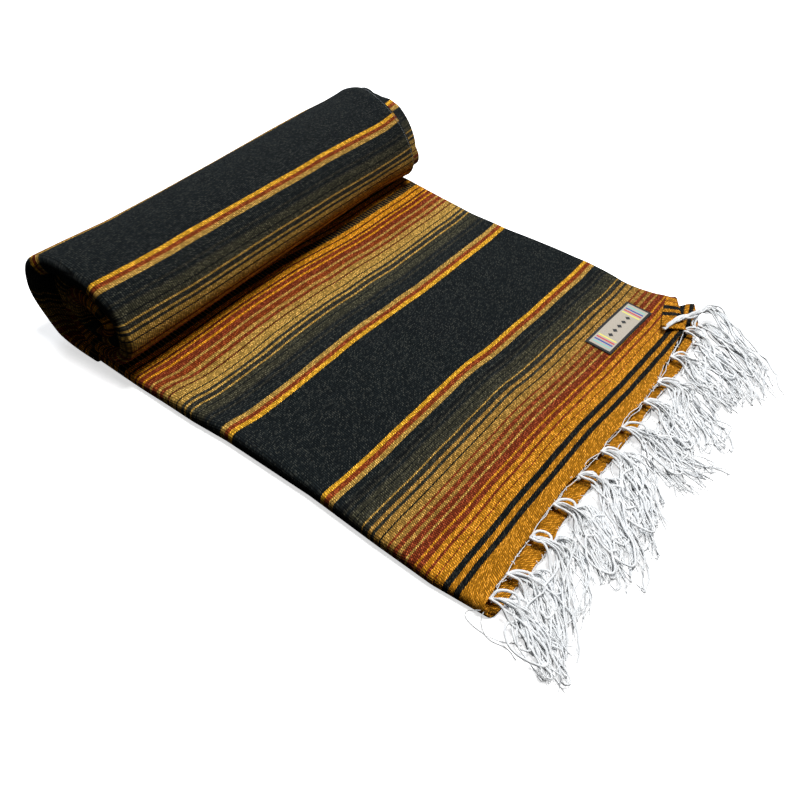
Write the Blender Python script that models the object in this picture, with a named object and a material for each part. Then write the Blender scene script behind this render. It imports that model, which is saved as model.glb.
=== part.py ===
"""A serape blanket, folded in four and half rolled up, with its fringed ends laid out on the floor.

The blanket is folded end to end, so that both fringed ends lie together, then side to side, and
rolled up from the folded end. Lay-out coordinates: x = 0 along the upper end's edge and negative
towards the roll, y = 0 along the near fold and positive towards the selvedges, z = 0 on the floor.
"""
import math
import random
from collections import namedtuple

import bpy
import bmesh
import numpy as np

MM = 0.001

# ---- driving sizes -------------------------------------------------------------------------------
LAYER = 2.1 * MM                 # thickness of one layer of the cloth
GAP = 0.3 * MM                   # parting between neighbouring pieces
PITCH = LAYER + GAP              # from one layer to the next
STACK_TOP = 4 * PITCH - GAP      # top of the four layers laid flat
FOLD_RADIUS = STACK_TOP / 2      # outside of the near fold
SELVEDGE_Y = 380 * MM            # folded width, half of the blanket's 760 mm
ROLL_NEAR_X = -359 * MM          # where the roll rests, at its near end
ROLL_FAR_X = -384 * MM           # and at its far end
ROLL_NEAR_Y = -12 * MM           # the roll's near end stands out past the fold
FLAT_START = 1.8 * MM            # the flat stretch begins this far past the place where the roll rests
ROLL_TURNS = 3.0
ROLL_HEIGHT = 88 * MM
ROLL_LEAN = 12 * MM              # the roll's top leans back from the fringed end
CENTRE = (-180.5 * MM, 174.5 * MM)   # middle of the whole part's footprint, where the origin goes

# ---- plan of the flat stretch, in mm -------------------------------------------------------------
Edge = namedtuple("Edge", "along out")
NEAR_FOLD = (                    # along = x, out = y of the fold
    Edge(-385, -9), Edge(-310, -9), Edge(-257, -8), Edge(-225, -5.5),
    Edge(-146, -4.5), Edge(-88, -7), Edge(-41, -8), Edge(0, -4.5), Edge(15, -4),
)
FAR_EDGE = (                     # along = x, out = y of the upper selvedge
    Edge(-385, 383), Edge(-345, 384), Edge(-320, 385), Edge(-268, 380), Edge(-230, 377),
    Edge(-184, 378), Edge(-152, 381), Edge(-120, 382), Edge(-96, 381), Edge(-60, 382), Edge(-38, 386),
)
UPPER_END = (                    # along = y, out = x of the upper fringed end
    Edge(-8, 4), Edge(25, 2), Edge(60, -1), Edge(93, -3), Edge(127, -3), Edge(160, 0), Edge(193, 0),
    Edge(228, 2), Edge(262, 1), Edge(301, -4), Edge(343, -9), Edge(386, -38),
)
LOWER_END = (                    # along = y, out = x of the lower fringed end
    Edge(-8, 12), Edge(57, 14), Edge(93, 10), Edge(120, 10), Edge(222, 10), Edge(255, 9),
    Edge(302, 9), Edge(332, 4), Edge(352, 0), Edge(376, -5), Edge(392, -13),
)

# ---- soft folds of the flat stretch, in mm and degrees -------------------------------------------
Wave = namedtuple("Wave", "x y turn length breadth height")
WAVES = (
    Wave(x=-235, y=212, turn=-17, length=95, breadth=17, height=2.2),
    Wave(x=-225, y=176, turn=-15, length=90, breadth=15, height=-1.2),
    Wave(x=-292, y=18, turn=62, length=34, breadth=11, height=-1.8),
    Wave(x=-262, y=30, turn=70, length=45, breadth=13, height=1.6),
    Wave(x=-120, y=36, turn=12, length=70, breadth=16, height=1.3),
    Wave(x=-150, y=300, turn=8, length=110, breadth=24, height=1.2),
    Wave(x=-60, y=150, turn=-28, length=60, breadth=18, height=1.5),
    Wave(x=-40, y=240, turn=15, length=50, breadth=16, height=-1.0),
    Wave(x=-22, y=352, turn=-50, length=26, breadth=13, height=2.6),
)
WAVES_END_X = -320 * MM          # under the roll the stack is pressed flat
WAVES_END_BREADTH = 25 * MM

# ---- the roll: its outline's four extremes, in mm, at each whole turn from the outside inwards ----
Turn = namedtuple("Turn", "turn left right bottom top")
ROLL = (
    Turn(0, -66.0, 68.0, 0.0, 95.5),
    Turn(1, -50.5, 52.0, 9.9, 80.5),
    Turn(2, -35.0, 36.0, 16.9, 65.5),
    Turn(3, -19.5, 20.0, 23.5, 50.5),
    Turn(4, -7.0, 7.5, 28.0, 38.0),
)
RollEnd = namedtuple("RollEnd", "turn near far layers")
Swell = namedtuple("Swell", "along rise")
ROLL_TOP = (                     # rise of the roll's top along it: it sags between its ends, in mm
    Swell(-12, 0), Swell(15, -1.5), Swell(60, -5), Swell(120, -5.5), Swell(190, -4.5),
    Swell(270, -2.5), Swell(330, 0), Swell(365, 3), Swell(390, 4),
)
ROLL_ENDS = (                    # where the wraps end, in mm past the roll's near end and selvedge
    RollEnd(0.0, 2, -2, 2), RollEnd(0.15, 0, -6, 0), RollEnd(0.35, 0, -5, 2), RollEnd(0.55, 1, 0, 8),
    RollEnd(0.75, 0, 1, 9), RollEnd(1.0, 2, 0, 7), RollEnd(1.3, 5, 0, 3), RollEnd(1.6, 4, 0, 5),
    RollEnd(2.0, 6, 0, 2), RollEnd(2.5, 4, 0, 5), RollEnd(3.0, 6, 0, 3),
)

# ---- fringe --------------------------------------------------------------------------------------
STRANDS_IN_TASSEL = 7
TASSEL_SPREAD = 24               # mm from a tassel's first tip to its last
STRAND_WIDTH = 1.5 * MM
STRAND_SECTION = ((-1.0, 0.0), (1.0, 0.0), (0.0, 1.4))   # sideways and up, in halves of its width
TIP_SHARE = 0.5                  # a strand's tip against its width
ROOT_WIDTH = 1.0 * MM            # a strand's root on the knotted strip
ROOT_PITCH = 1.6 * MM
STRIP_WIDTH = 1.6 * MM           # knotted edge that holds the strands' roots
STRIP_HEIGHT = 1.4 * MM

# ---- woven label ---------------------------------------------------------------------------------
LABEL_CENTRE = (-56 * MM, 311 * MM)
LABEL_SIZE = (25.5 * MM, 78 * MM)
LABEL_TURN = math.radians(-2.0)
LABEL_THICKNESS = 0.9 * MM


def interpolate(table, where, column):
    """Value of one named column of a table at a place along its first column."""
    first = [row[0] for row in table]
    values = [getattr(row, column) for row in table]
    return float(np.interp(where, first, values))


def edge(table, along):
    """Place of an edge, in metres, at a distance in metres along it."""
    return interpolate(table, along / MM, "out") * MM


def smooth_step(value):
    value = min(max(value, 0.0), 1.0)
    return value * value * (3 - 2 * value)


def wave_height(x, y):
    """Height of the soft folds above the plain stack at a place on the flat stretch."""
    height = 0.0
    for wave in WAVES:
        turn = math.radians(wave.turn)
        dx, dy = x - wave.x * MM, y - wave.y * MM
        lengthways = (dx * math.cos(turn) + dy * math.sin(turn)) / (wave.length * MM)
        across = (dy * math.cos(turn) - dx * math.sin(turn)) / (wave.breadth * MM)
        height += wave.height * MM * math.exp(-across ** 2 - lengthways ** 4)
    return height * smooth_step((x - WAVES_END_X) / WAVES_END_BREADTH)


def lifted(x, y, z):
    """A point of the flat stretch: the soft folds raise it in proportion to its height."""
    return (x, y, z * (1 + wave_height(x, y) / STACK_TOP))


def roll_x(y):
    """Where the roll rests on the floor, at a distance along it."""
    return ROLL_NEAR_X + (ROLL_FAR_X - ROLL_NEAR_X) * y / SELVEDGE_Y


# ---- meshes --------------------------------------------------------------------------------------
def make_material(name, colour, roughness):
    material = bpy.data.materials.new(name)
    material.use_nodes = True
    shader = material.node_tree.nodes["Principled BSDF"]
    shader.inputs["Base Color"].default_value = (*colour, 1.0)
    shader.inputs["Roughness"].default_value = roughness
    shader.inputs["Metallic"].default_value = 0.0
    return material


def make_object(name, points, faces, colour, roughness=0.9):
    """One closed piece, moved so that the origin is under the middle of the part."""
    moved = [(x - CENTRE[0], y - CENTRE[1], z) for x, y, z in points]
    mesh = bpy.data.meshes.new(name)
    mesh.from_pydata(moved, [], faces)
    shape = bmesh.new()
    shape.from_mesh(mesh)
    bmesh.ops.triangulate(shape, faces=shape.faces)
    bmesh.ops.recalc_face_normals(shape, faces=shape.faces)
    shape.to_mesh(mesh)
    shape.free()
    mesh.materials.append(make_material(name, colour, roughness))
    mesh.shade_smooth()
    mesh.set_sharp_from_angle(angle=math.radians(50))
    piece = bpy.data.objects.new(name, mesh)
    bpy.context.scene.collection.objects.link(piece)
    return piece


def halves(a, b, c, d):
    """A four-sided face as two triangles, always cut the same way, so that layers stay parallel."""
    return (a, b, c), (a, c, d)


def wall(outer, inner):
    """Points and faces of a closed wall between two grids of points."""
    rows, columns = len(outer), len(outer[0])
    points = [point for row in outer for point in row] + [point for row in inner for point in row]
    under = rows * columns

    def at(i, j):
        return i * columns + j

    faces = []
    for i in range(rows - 1):
        for j in range(columns - 1):
            for face in halves(at(i, j), at(i + 1, j), at(i + 1, j + 1), at(i, j + 1)):
                faces.append(face)
                faces.append(tuple(under + k for k in reversed(face)))
    rim = [at(i, 0) for i in range(rows)] + [at(rows - 1, j) for j in range(1, columns)]
    rim += [at(i, columns - 1) for i in range(rows - 2, -1, -1)]
    rim += [at(0, j) for j in range(columns - 2, 0, -1)]
    for k, here in enumerate(rim):
        following = rim[(k + 1) % len(rim)]
        faces.append((following, here, under + here, under + following))
    return points, faces


# ---- flat stretch --------------------------------------------------------------------------------
STATIONS_X = (0.0, 0.06, 0.12, 0.18, 0.23, 0.28, 0.33, 0.385, 0.44, 0.495, 0.55, 0.605, 0.66, 0.715,
              0.77, 0.825, 0.88, 0.93, 0.97, 1.0)          # shares of the way to the upper end
STATIONS_Y = (0.03, 0.07, 0.12, 0.175, 0.235, 0.3, 0.36, 0.42, 0.475, 0.53, 0.585, 0.65, 0.72, 0.79,
              0.855, 0.91, 0.96, 1.0)                      # shares of the way to the selvedge


def plan(station, inward, share, outward=0.0):
    """Place on the flat stretch, shared by all its layers so that they stay parallel.

    inward is the distance in from the near fold, share the part of the rest of the way to the
    selvedge, and outward a distance past it.
    """
    guess_x = roll_x(0.0) * (1 - station)
    near, far = edge(NEAR_FOLD, guess_x), edge(FAR_EDGE, guess_x)
    y = near + inward + share * (far - near - inward) + outward
    start, end = roll_x(y) + FLAT_START, edge(UPPER_END, y)
    return start + (end - start) * station, y


def fold_path(radius, top):
    """Path round the near fold and over the top: (distance in from the fold, share, height)."""
    path = []
    for turn in (-90, -60, -30, 0, 30, 60, 90):
        angle = math.radians(turn)
        path.append((FOLD_RADIUS - radius * math.cos(angle), 0.0, FOLD_RADIUS + radius * math.sin(angle)))
    return path + [(FOLD_RADIUS, share, top) for share in STATIONS_Y]


def make_upper_layer():
    grids = []
    for radius, top in ((FOLD_RADIUS, STACK_TOP), (FOLD_RADIUS - LAYER, STACK_TOP - LAYER)):
        path = fold_path(radius, top)
        grids.append([[lifted(*plan(station, inward, share), z) for inward, share, z in path]
                      for station in STATIONS_X])
    points, faces = wall(*grids)
    make_object("flat_upper_layer", points, faces, (0.19, 0.10, 0.03))


Ring = namedtuple("Ring", "z near far end of")
ENDS = {"upper": UPPER_END, "lower": LOWER_END}
CORNER_OUT = 6 * MM              # the lowest layers' far corner, past the selvedge above
CORNER_ROUNDED = 0.8 * MM        # and their near corner, in from the fold


def corner_out(station):
    return CORNER_OUT * smooth_step((station - 0.86) / 0.12)


def slab(rings):
    """The solid of hidden layers: flat below, a grid above, and rings of points round its edges.

    Each ring gives its height and how far in it lies at the near fold, the far edge and the
    fringed end, so grooves between layers are rings that lie further in.
    """
    rows, columns = len(STATIONS_X), len(STATIONS_Y) + 1

    def place(i, j, ring):
        inward, share, outward = FOLD_RADIUS, STATIONS_Y[j - 1], 0.0
        if j == 0:
            inward, share = ring.near * MM, 0.0
        if j == columns - 1:
            outward = (corner_out(STATIONS_X[i]) if ring.of == "lower" else 0.0) - ring.far * MM
        x, y = plan(STATIONS_X[i], inward, share, outward)
        if i == rows - 1:
            y += CORNER_ROUNDED if j == 0 else 0.0
            x = edge(ENDS[ring.of], y) - ring.end * MM
        return lifted(x, y, ring.z * MM)

    border = [(i, 0) for i in range(rows)] + [(rows - 1, j) for j in range(1, columns)]
    border += [(i, columns - 1) for i in range(rows - 2, -1, -1)]
    border += [(0, j) for j in range(columns - 2, 0, -1)]
    points, faces, loops = [], [], []
    for ring in rings[:-1]:
        first = len(points)
        points += [place(i, j, ring) for i, j in border]
        loops.append(list(range(first, len(points))))
    faces.append(tuple(reversed(loops[0])))
    first = len(points)
    points += [place(i, j, rings[-1]) for i in range(rows) for j in range(columns)]
    loops.append([first + i * columns + j for i, j in border])
    for i in range(rows - 1):
        for j in range(columns - 1):
            a = first + i * columns + j
            faces += halves(a, a + columns, a + columns + 1, a + 1)
    for lower, upper in zip(loops, loops[1:]):
        for k in range(len(border)):
            following = (k + 1) % len(border)
            faces.append((lower[k], lower[following], upper[following], upper[k]))
    return points, faces


def make_lower_layers():
    """The three layers under the upper one: one rounded solid with a groove between its layers.

    Its two lowest layers are the other end of the blanket, and stand out past the upper end.
    """
    fold = FOLD_RADIUS / MM
    nose = (FOLD_RADIUS - LAYER - GAP) / MM

    def inside_fold(z):
        return fold - math.sqrt(max(nose ** 2 - (z - fold) ** 2, 0.0))

    rings = (
        Ring(0.0, fold + 0.6, 1.4, 1.0, "lower"), Ring(1.9, fold + 0.6, 0.6, 0.2, "lower"),
        Ring(2.4, inside_fold(2.4) + 0.3, 2.6, 2.2, "lower"), Ring(2.9, inside_fold(2.9), 0.8, 0.2, "lower"),
        Ring(4.2, inside_fold(4.2), 1.2, 0.4, "lower"), Ring(4.6, inside_fold(4.6), 4.4, 2.6, "upper"),
        Ring(5.3, inside_fold(5.3), 2.6, 1.8, "upper"), Ring(6.5, inside_fold(6.5), 2.6, 1.8, "upper"),
        Ring(3 * PITCH / MM - GAP / MM, inside_fold(6.9), 3.2, 2.6, "upper"),
    )
    points, faces = slab(rings)
    make_object("flat_lower_layers", points, faces, (0.35, 0.18, 0.03))


# ---- turned-back corner --------------------------------------------------------------------------
FlapRow = namedtuple("FlapRow", "fold_x fold_y tip_x tip_y raised")
FLAP = (                         # from the fringed side to the selvedge side, in mm
    FlapRow(-9.5, 344.5, -25.5, 329.5, 6.5),
    FlapRow(-14.0, 351.0, -28.5, 337.5, 4.2),
    FlapRow(-19.0, 358.5, -32.0, 347.0, 2.4),
    FlapRow(-24.5, 366.5, -35.5, 356.5, 1.6),
    FlapRow(-30.0, 374.5, -38.5, 366.0, 1.4),
    FlapRow(-36.0, 383.0, -41.5, 377.5, 1.6),
)
FLAP_LAYER = 1.8 * MM


def make_corner_flap():
    """The upper layer's corner, turned back over itself round the fold along its cut edge."""
    outward = np.array([0.814, 0.581])      # level, at right angles to the fold
    shares = (0.08, 0.3, 0.55, 0.8, 1.0)
    outer, inner = [], []
    for row in FLAP:
        fold = np.array([row.fold_x, row.fold_y]) * MM
        tip = np.array([row.tip_x, row.tip_y]) * MM
        level = lifted(fold[0], fold[1], STACK_TOP)[2]
        inner_row, outer_row = [], []
        for turn in (-70, -35, 0, 35, 70):
            angle = math.radians(turn)
            middle = level - LAYER / 2
            for radius, path in ((LAYER / 2 + GAP * 1.5, inner_row),
                                 (LAYER / 2 + GAP * 1.5 + FLAP_LAYER, outer_row)):
                place = fold + outward * (radius * math.cos(angle))
                path.append((place[0], place[1], middle + radius * math.sin(angle)))
        for share in shares:
            place = fold + (tip - fold) * share
            level = lifted(place[0], place[1], STACK_TOP)[2]
            raised = level + 2 * GAP + row.raised * MM * share ** 2
            inner_row.append((place[0], place[1], raised))
            outer_row.append((place[0], place[1], raised + FLAP_LAYER))
        inner.append(inner_row)
        outer.append(outer_row)
    points, faces = wall(outer, inner)
    make_object("corner_flap", points, faces, (0.55, 0.26, 0.03))


# ---- roll ----------------------------------------------------------------------------------------
STEPS_IN_TURN = 28
WALL_END_STEP = STEPS_IN_TURN - 1    # the outer wrap's hidden end, tucked between stack and roll
WALL_END_TURN = WALL_END_STEP / STEPS_IN_TURN
ROLL_STATIONS = [swell.along * MM for swell in ROLL_TOP[1:-1]]   # shared, so that the wraps stay parallel


def roll_outline(turn, y):
    """A point of the spiral that the stack's outer face follows, at a distance along the roll."""
    left, right = interpolate(ROLL, turn, "left") * MM, interpolate(ROLL, turn, "right") * MM
    bottom, top = interpolate(ROLL, turn, "bottom") * MM, interpolate(ROLL, turn, "top") * MM
    angle = 2 * math.pi * turn
    x = roll_x(y) + (left + right) / 2 - (right - left) / 2 * math.sin(angle)
    z = (bottom + top) / 2 - (top - bottom) / 2 * math.cos(angle)
    z += interpolate(ROLL_TOP, y / MM, "rise") * MM * (z / ROLL_HEIGHT) ** 2
    return x - ROLL_LEAN * z / ROLL_HEIGHT, z


def roll_inward(turn, y, depth):
    """The spiral's point moved in by a depth at right angles to the spiral."""
    step = 0.002
    x, z = roll_outline(turn, y)
    x_after, z_after = roll_outline(turn + step, y)
    x_before, z_before = roll_outline(max(turn - step, 0.0), y)
    along = np.array([x_after - x_before, z_after - z_before])
    along /= np.linalg.norm(along)
    return x + along[1] * depth, z - along[0] * depth


def wrap_thickness(turn):
    """Outer wrap's thickness: it thins out where it is tucked under the roll."""
    return LAYER * (1 - 0.75 * smooth_step((turn - 0.86) / (WALL_END_TURN - 0.86)))


def core_depth(turn):
    """How far inside the spiral the hidden layers begin."""
    if turn >= 1.0:
        return GAP
    return wrap_thickness(min(turn, WALL_END_TURN)) + GAP


def make_outer_wrap():
    near_lip = ((FOLD_RADIUS, 0.0), (FOLD_RADIUS * 0.55, 0.2), (FOLD_RADIUS * 0.18, 0.65),
                (0.0, 1.0))      # distance in from the near end, share of the thickness rounded off
    outer, inner = [], []
    for step in range(WALL_END_STEP + 1):
        turn = step / STEPS_IN_TURN
        thickness = wrap_thickness(turn)
        near = ROLL_NEAR_Y + interpolate(ROLL_ENDS, turn, "near") * MM
        far = SELVEDGE_Y + interpolate(ROLL_ENDS, turn, "far") * MM
        outer_row, inner_row = [], []
        for distance, rounded in reversed(near_lip):
            y = near + distance
            x, z = roll_inward(turn, y, thickness * rounded * 0.8)
            outer_row.append((x, y, z))
            x, z = roll_inward(turn, y, thickness)
            inner_row.append((x, y, z))
        for y in (*ROLL_STATIONS, far):
            x, z = roll_inward(turn, y, 0.0)
            outer_row.append((x, y, z))
            x, z = roll_inward(turn, y, thickness)
            inner_row.append((x, y, z))
        outer.append(outer_row)
        inner.append(inner_row)
    points, faces = wall(outer, inner)
    make_object("roll_outer_wrap", points, faces, (0.05, 0.055, 0.055))


Ridge = namedtuple("Ridge", "across near far")
RIDGES = (                       # share of the way across a wrap, and mm back from each of its ends:
    Ridge(0.0, 7.0, 4.0),        # one rounded fold at the near end, layered selvedges at the far end
    Ridge(0.12, 3.0, 0.2),
    Ridge(0.34, 0.6, 0.4),
    Ridge(0.44, 0.2, 3.8),
    Ridge(0.56, 0.3, 1.4),
    Ridge(0.88, 3.0, 1.8),
    Ridge(1.0, 7.0, 4.0),
)


def make_inner_wraps():
    """The roll's hidden layers: one rounded solid, with a spiral of folds at its near end, one of
    layered selvedges at its far end, and the small eye that the rolling leaves open."""
    last = round(ROLL_TURNS * STEPS_IN_TURN)
    inmost = len(RIDGES) - 1
    points, faces = [], []

    def spiral_point(step, y):
        turn = step / STEPS_IN_TURN
        return roll_inward(turn, y, core_depth(turn))

    def place(step, column, y):
        """A point between a wrap's outer face and the next wrap's, at a distance along the roll."""
        x0, z0 = spiral_point(step, y)
        x1, z1 = spiral_point(step + STEPS_IN_TURN, y)
        share = RIDGES[column].across
        return x0 + (x1 - x0) * share, y, z0 + (z1 - z0) * share

    def end_y(step, column, side):
        turn = step / STEPS_IN_TURN
        if side == "near":
            return ROLL_NEAR_Y + (interpolate(ROLL_ENDS, turn, "near") + RIDGES[column].near) * MM
        layers = interpolate(ROLL_ENDS, turn, "far") + interpolate(ROLL_ENDS, turn, "layers")
        return SELVEDGE_Y + (layers - RIDGES[column].far) * MM

    def cap(side):
        """One end: a strip that winds inwards, each turn sharing the edge of the turn outside it."""
        number = {}
        for step in range(last + 1):
            for column in range(inmost + 1):
                if column == inmost and step + STEPS_IN_TURN <= last:
                    continue
                number[step, column] = len(points)
                points.append(place(step, column, end_y(step, column, side)))
        for step in range(last + 1 - STEPS_IN_TURN):
            number[step, inmost] = number[step + STEPS_IN_TURN, 0]
        for step in range(last):
            for column in range(inmost):
                faces.append((number[step, column], number[step + 1, column],
                              number[step + 1, column + 1], number[step, column + 1]))
        return number

    near, far = cap("near"), cap("far")

    def skin(loop):
        """The long side between the two ends, along a closed loop of (step, column)."""
        rings = [[near[key] for key in loop]]
        for y in ROLL_STATIONS:
            rings.append(list(range(len(points), len(points) + len(loop))))
            points.extend(place(step, column, y) for step, column in loop)
        rings.append([far[key] for key in loop])
        for ring, following in zip(rings, rings[1:]):
            for k in range(len(loop)):
                after = (k + 1) % len(loop)
                faces.append((ring[k], ring[after], following[after], following[k]))

    outside = [(step, 0) for step in range(STEPS_IN_TURN + 1)]
    outside += [(0, column) for column in range(inmost - 1, 0, -1)]
    eye = [(step, inmost) for step in range(last - STEPS_IN_TURN, last + 1)]
    eye += [(last, column) for column in range(inmost - 1, 0, -1)]
    skin(outside)
    skin(eye)
    make_object("roll_inner_wraps", points, faces, (0.30, 0.12, 0.04))


# ---- fringe --------------------------------------------------------------------------------------
def unit(vector):
    return vector / np.linalg.norm(vector)


def grow_strand(points, faces, root, path):
    """A three-sided strand that grows out of a root triangle and thins towards its tip."""
    ring, before = root, np.mean([points[k] for k in root], axis=0)
    for number, place in enumerate(path):
        level = unit(np.cross(np.array([0.0, 0.0, 1.0]), place - before))
        size = STRAND_WIDTH / 2 * (TIP_SHARE if number == len(path) - 1 else 1.0)
        following = []
        for sideways, rise in STRAND_SECTION:
            following.append(len(points))
            points.append(tuple(place + level * sideways * size + np.array([0.0, 0.0, rise * size])))
        faces += [(ring[k], ring[(k + 1) % 3], following[(k + 1) % 3], following[k]) for k in range(3)]
        ring, before = following, place
    faces.append(tuple(ring))


def knotted_strip(points, faces, section, roots):
    """A strip lofted along its four-cornered sections, with its root triangles left open.

    The first two corners of a section are its outer face; each stretch named in roots leaves the
    triangle there open for a strand. The list of those triangles is returned.
    """
    corners = [[len(points) + 4 * number + k for k in range(4)] for number in range(len(section))]
    for four in section:
        points += four
    open_roots = []
    for number, (here, after) in enumerate(zip(corners, corners[1:])):
        low, low_after, high_after, high = here[0], after[0], after[1], here[1]
        if number in roots:
            open_roots.append((low, low_after, high_after))
            faces.append((low, high_after, high))
        else:
            faces.append((low, low_after, high_after, high))
        faces.append((here[1], after[1], after[2], here[2]))
        faces.append((here[2], after[2], after[3], here[3]))
        faces.append((here[3], after[3], after[0], here[0]))
    faces.append(tuple(corners[0]))
    faces.append(tuple(reversed(corners[-1])))
    return open_roots


Tassel = namedtuple("Tassel", "y reach drift bend")     # mm along the end, out, sideways, and its curve
UPPER_TASSELS = (
    Tassel(6, 54, -34, 3), Tassel(28, 60, -32, -2), Tassel(60, 66, -26, 3), Tassel(93, 70, -22, 2),
    Tassel(127, 72, -20, -2), Tassel(160, 70, -16, 3), Tassel(193, 74, -20, 2), Tassel(228, 70, -18, -3),
    Tassel(262, 74, -14, 2), Tassel(298, 84, -10, 3), Tassel(330, 88, -4, -2),
)
LOWER_TASSELS = (
    Tassel(8, 46, -30, 2), Tassel(40, 54, -28, -2), Tassel(74, 58, -26, 2), Tassel(108, 60, -22, 3),
    Tassel(141, 58, -22, -2), Tassel(175, 62, -18, 2), Tassel(208, 60, -18, -2), Tassel(242, 64, -16, 3),
    Tassel(275, 66, -12, 2), Tassel(309, 74, -8, -2), Tassel(342, 84, -2, 2), Tassel(372, 82, 0, -3),
)
UPPER_HEIGHTS = (7.0, 5.2, 4.0, 3.4)     # mm above the floor at each quarter of a strand
LOWER_HEIGHTS = (1.8, 1.3, 1.0, 0.9)


def make_fringe(name, end_table, tassels, level, heights, seed):
    """A knotted strip along an end of the cloth, with strands drawn out of its outer face."""
    rng = random.Random(seed)
    half = STRANDS_IN_TASSEL * ROOT_PITCH / 2
    columns, roots = [tassels[0].y * MM - half - STRIP_WIDTH], []
    for tassel in tassels:
        for strand in range(STRANDS_IN_TASSEL):
            left = tassel.y * MM - half + strand * ROOT_PITCH
            roots.append(len(columns))
            columns += [left, left + ROOT_WIDTH]
    columns.append(columns[-1] + STRIP_WIDTH)
    section = []
    cloth_y = [plan(STATIONS_X[-1], inward, share)[1]
               for inward, share, z in fold_path(FOLD_RADIUS, STACK_TOP) if z > FOLD_RADIUS]
    cloth_x = [edge(end_table, y) for y in cloth_y]
    for y in columns:
        back = float(np.interp(y, cloth_y, cloth_x)) + GAP
        front = back + STRIP_WIDTH
        section.append([(front, y, level), (front, y, level + STRIP_HEIGHT),
                        (back, y, level + STRIP_HEIGHT), (back, y, level)])
    points, faces = [], []
    open_roots = knotted_strip(points, faces, section, roots)
    for number, root in enumerate(open_roots):
        tassel = tassels[number // STRANDS_IN_TASSEL]
        across = (number % STRANDS_IN_TASSEL) / (STRANDS_IN_TASSEL - 1) - 0.5
        start = np.mean([points[k] for k in root], axis=0)
        reach = tassel.reach * (1 - 0.25 * abs(across) + rng.uniform(-0.06, 0.06)) * MM
        path = []
        for quarter, height in enumerate(heights, start=1):
            share = quarter / len(heights)
            sideways = (tassel.drift + across * TASSEL_SPREAD) * share ** 1.3
            sideways += tassel.bend * math.sin(1.6 * math.pi * share)
            path.append(np.array([start[0] + reach * share, start[1] + sideways * MM, height * MM]))
        grow_strand(points, faces, root, path)
    make_object(name, points, faces, (0.82, 0.84, 0.86))


Bend = namedtuple("Bend", "x y z")
CORNER_TASSEL = (                # middle of the tassel that lies back over the turned-back corner, mm
    Bend(-23, 334, 21), Bend(-21, 350, 19), Bend(-14, 371, 16.5), Bend(-2, 386, 13),
    Bend(20, 391, 8), Bend(44, 384, 5), Bend(62, 368, 4.2),
)
CORNER_STRIP = Bend(-22.9, 329, 17.6)        # middle of its strip's foot, just past the flap's raised tip
CORNER_STRIP_ALONG = (-0.73, -0.684)     # level direction of the strip, beside the flap's fringed edge
CORNER_STRANDS = 5
CORNER_ROOT_PITCH = 2.1 * MM
CORNER_STRAND_PITCH = 2.6 * MM


def make_corner_tassel():
    """The turned-back corner's own tassel, from a short strip at the flap's fringed edge."""
    along = np.array([*CORNER_STRIP_ALONG, 0.0])
    outward = np.array([along[1], -along[0], 0.0])
    upward = np.array([0.0, 0.0, STRIP_WIDTH])
    places = [-STRIP_WIDTH]
    for strand in range(CORNER_STRANDS):
        places += [strand * CORNER_ROOT_PITCH, strand * CORNER_ROOT_PITCH + ROOT_WIDTH]
    places.append(places[-1] + STRIP_WIDTH)
    section = []
    for place in places:
        inner = np.array(CORNER_STRIP) * MM + along * (place - places[-1] / 2)
        outer = inner + outward * STRIP_WIDTH
        section.append([tuple(outer + upward), tuple(inner + upward), tuple(inner), tuple(outer)])
    points, faces = [], []
    open_roots = knotted_strip(points, faces, section, range(1, 2 * CORNER_STRANDS, 2))
    middle = np.array(CORNER_TASSEL) * MM
    for number, root in enumerate(open_roots):
        across = (number - (CORNER_STRANDS - 1) / 2) * CORNER_STRAND_PITCH
        path = []
        for step, place in enumerate(middle):
            ahead = middle[min(step + 1, len(middle) - 1)] - middle[max(step - 1, 0)]
            path.append(place + unit(np.array([-ahead[1], ahead[0], 0.0])) * across)
        grow_strand(points, faces, root, path)
    make_object("corner_tassel", points, faces, (0.82, 0.84, 0.86))


def make_label():
    """The woven label: a thin patch made from the upper layer's own surface, moved out."""
    rows, columns = 9, 4
    outer, inner = [], []
    for i in range(rows):
        outer_row, inner_row = [], []
        for j in range(columns):
            along = (i / (rows - 1) - 0.5) * LABEL_SIZE[1]
            across = (j / (columns - 1) - 0.5) * LABEL_SIZE[0]
            x = LABEL_CENTRE[0] + across * math.cos(LABEL_TURN) - along * math.sin(LABEL_TURN)
            y = LABEL_CENTRE[1] + across * math.sin(LABEL_TURN) + along * math.cos(LABEL_TURN)
            level = lifted(x, y, STACK_TOP)[2] + 1.4 * GAP
            inner_row.append((x, y, level))
            outer_row.append((x, y, level + LABEL_THICKNESS))
        outer.append(outer_row)
        inner.append(inner_row)
    points, faces = wall(outer, inner)
    make_object("woven_label", points, faces, (0.62, 0.57, 0.50))


def main():
    for item in list(bpy.data.objects):
        bpy.data.objects.remove(item)
    make_upper_layer()
    make_lower_layers()
    make_corner_flap()
    make_outer_wrap()
    make_inner_wraps()
    make_fringe("lower_fringe", LOWER_END, LOWER_TASSELS, 1.5 * MM, LOWER_HEIGHTS, seed=3)
    make_fringe("upper_fringe", UPPER_END, UPPER_TASSELS, STACK_TOP - 1.9 * MM, UPPER_HEIGHTS, seed=5)
    make_corner_tassel()
    make_label()


main()
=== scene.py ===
"""The looks of a serape: striped woven cloth, folded in four and half rolled up, with knotted fringe.

Lay-out coordinates, as the solids have them: x = 0 along the upper end's edge and negative towards
the roll, y = 0 along the near fold and positive towards the selvedges, z = 0 on the floor.
"""
import math
import random
from collections import namedtuple
from functools import partial

import bmesh
import bpy
import numpy as np
from mathutils import Matrix, Vector


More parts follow.
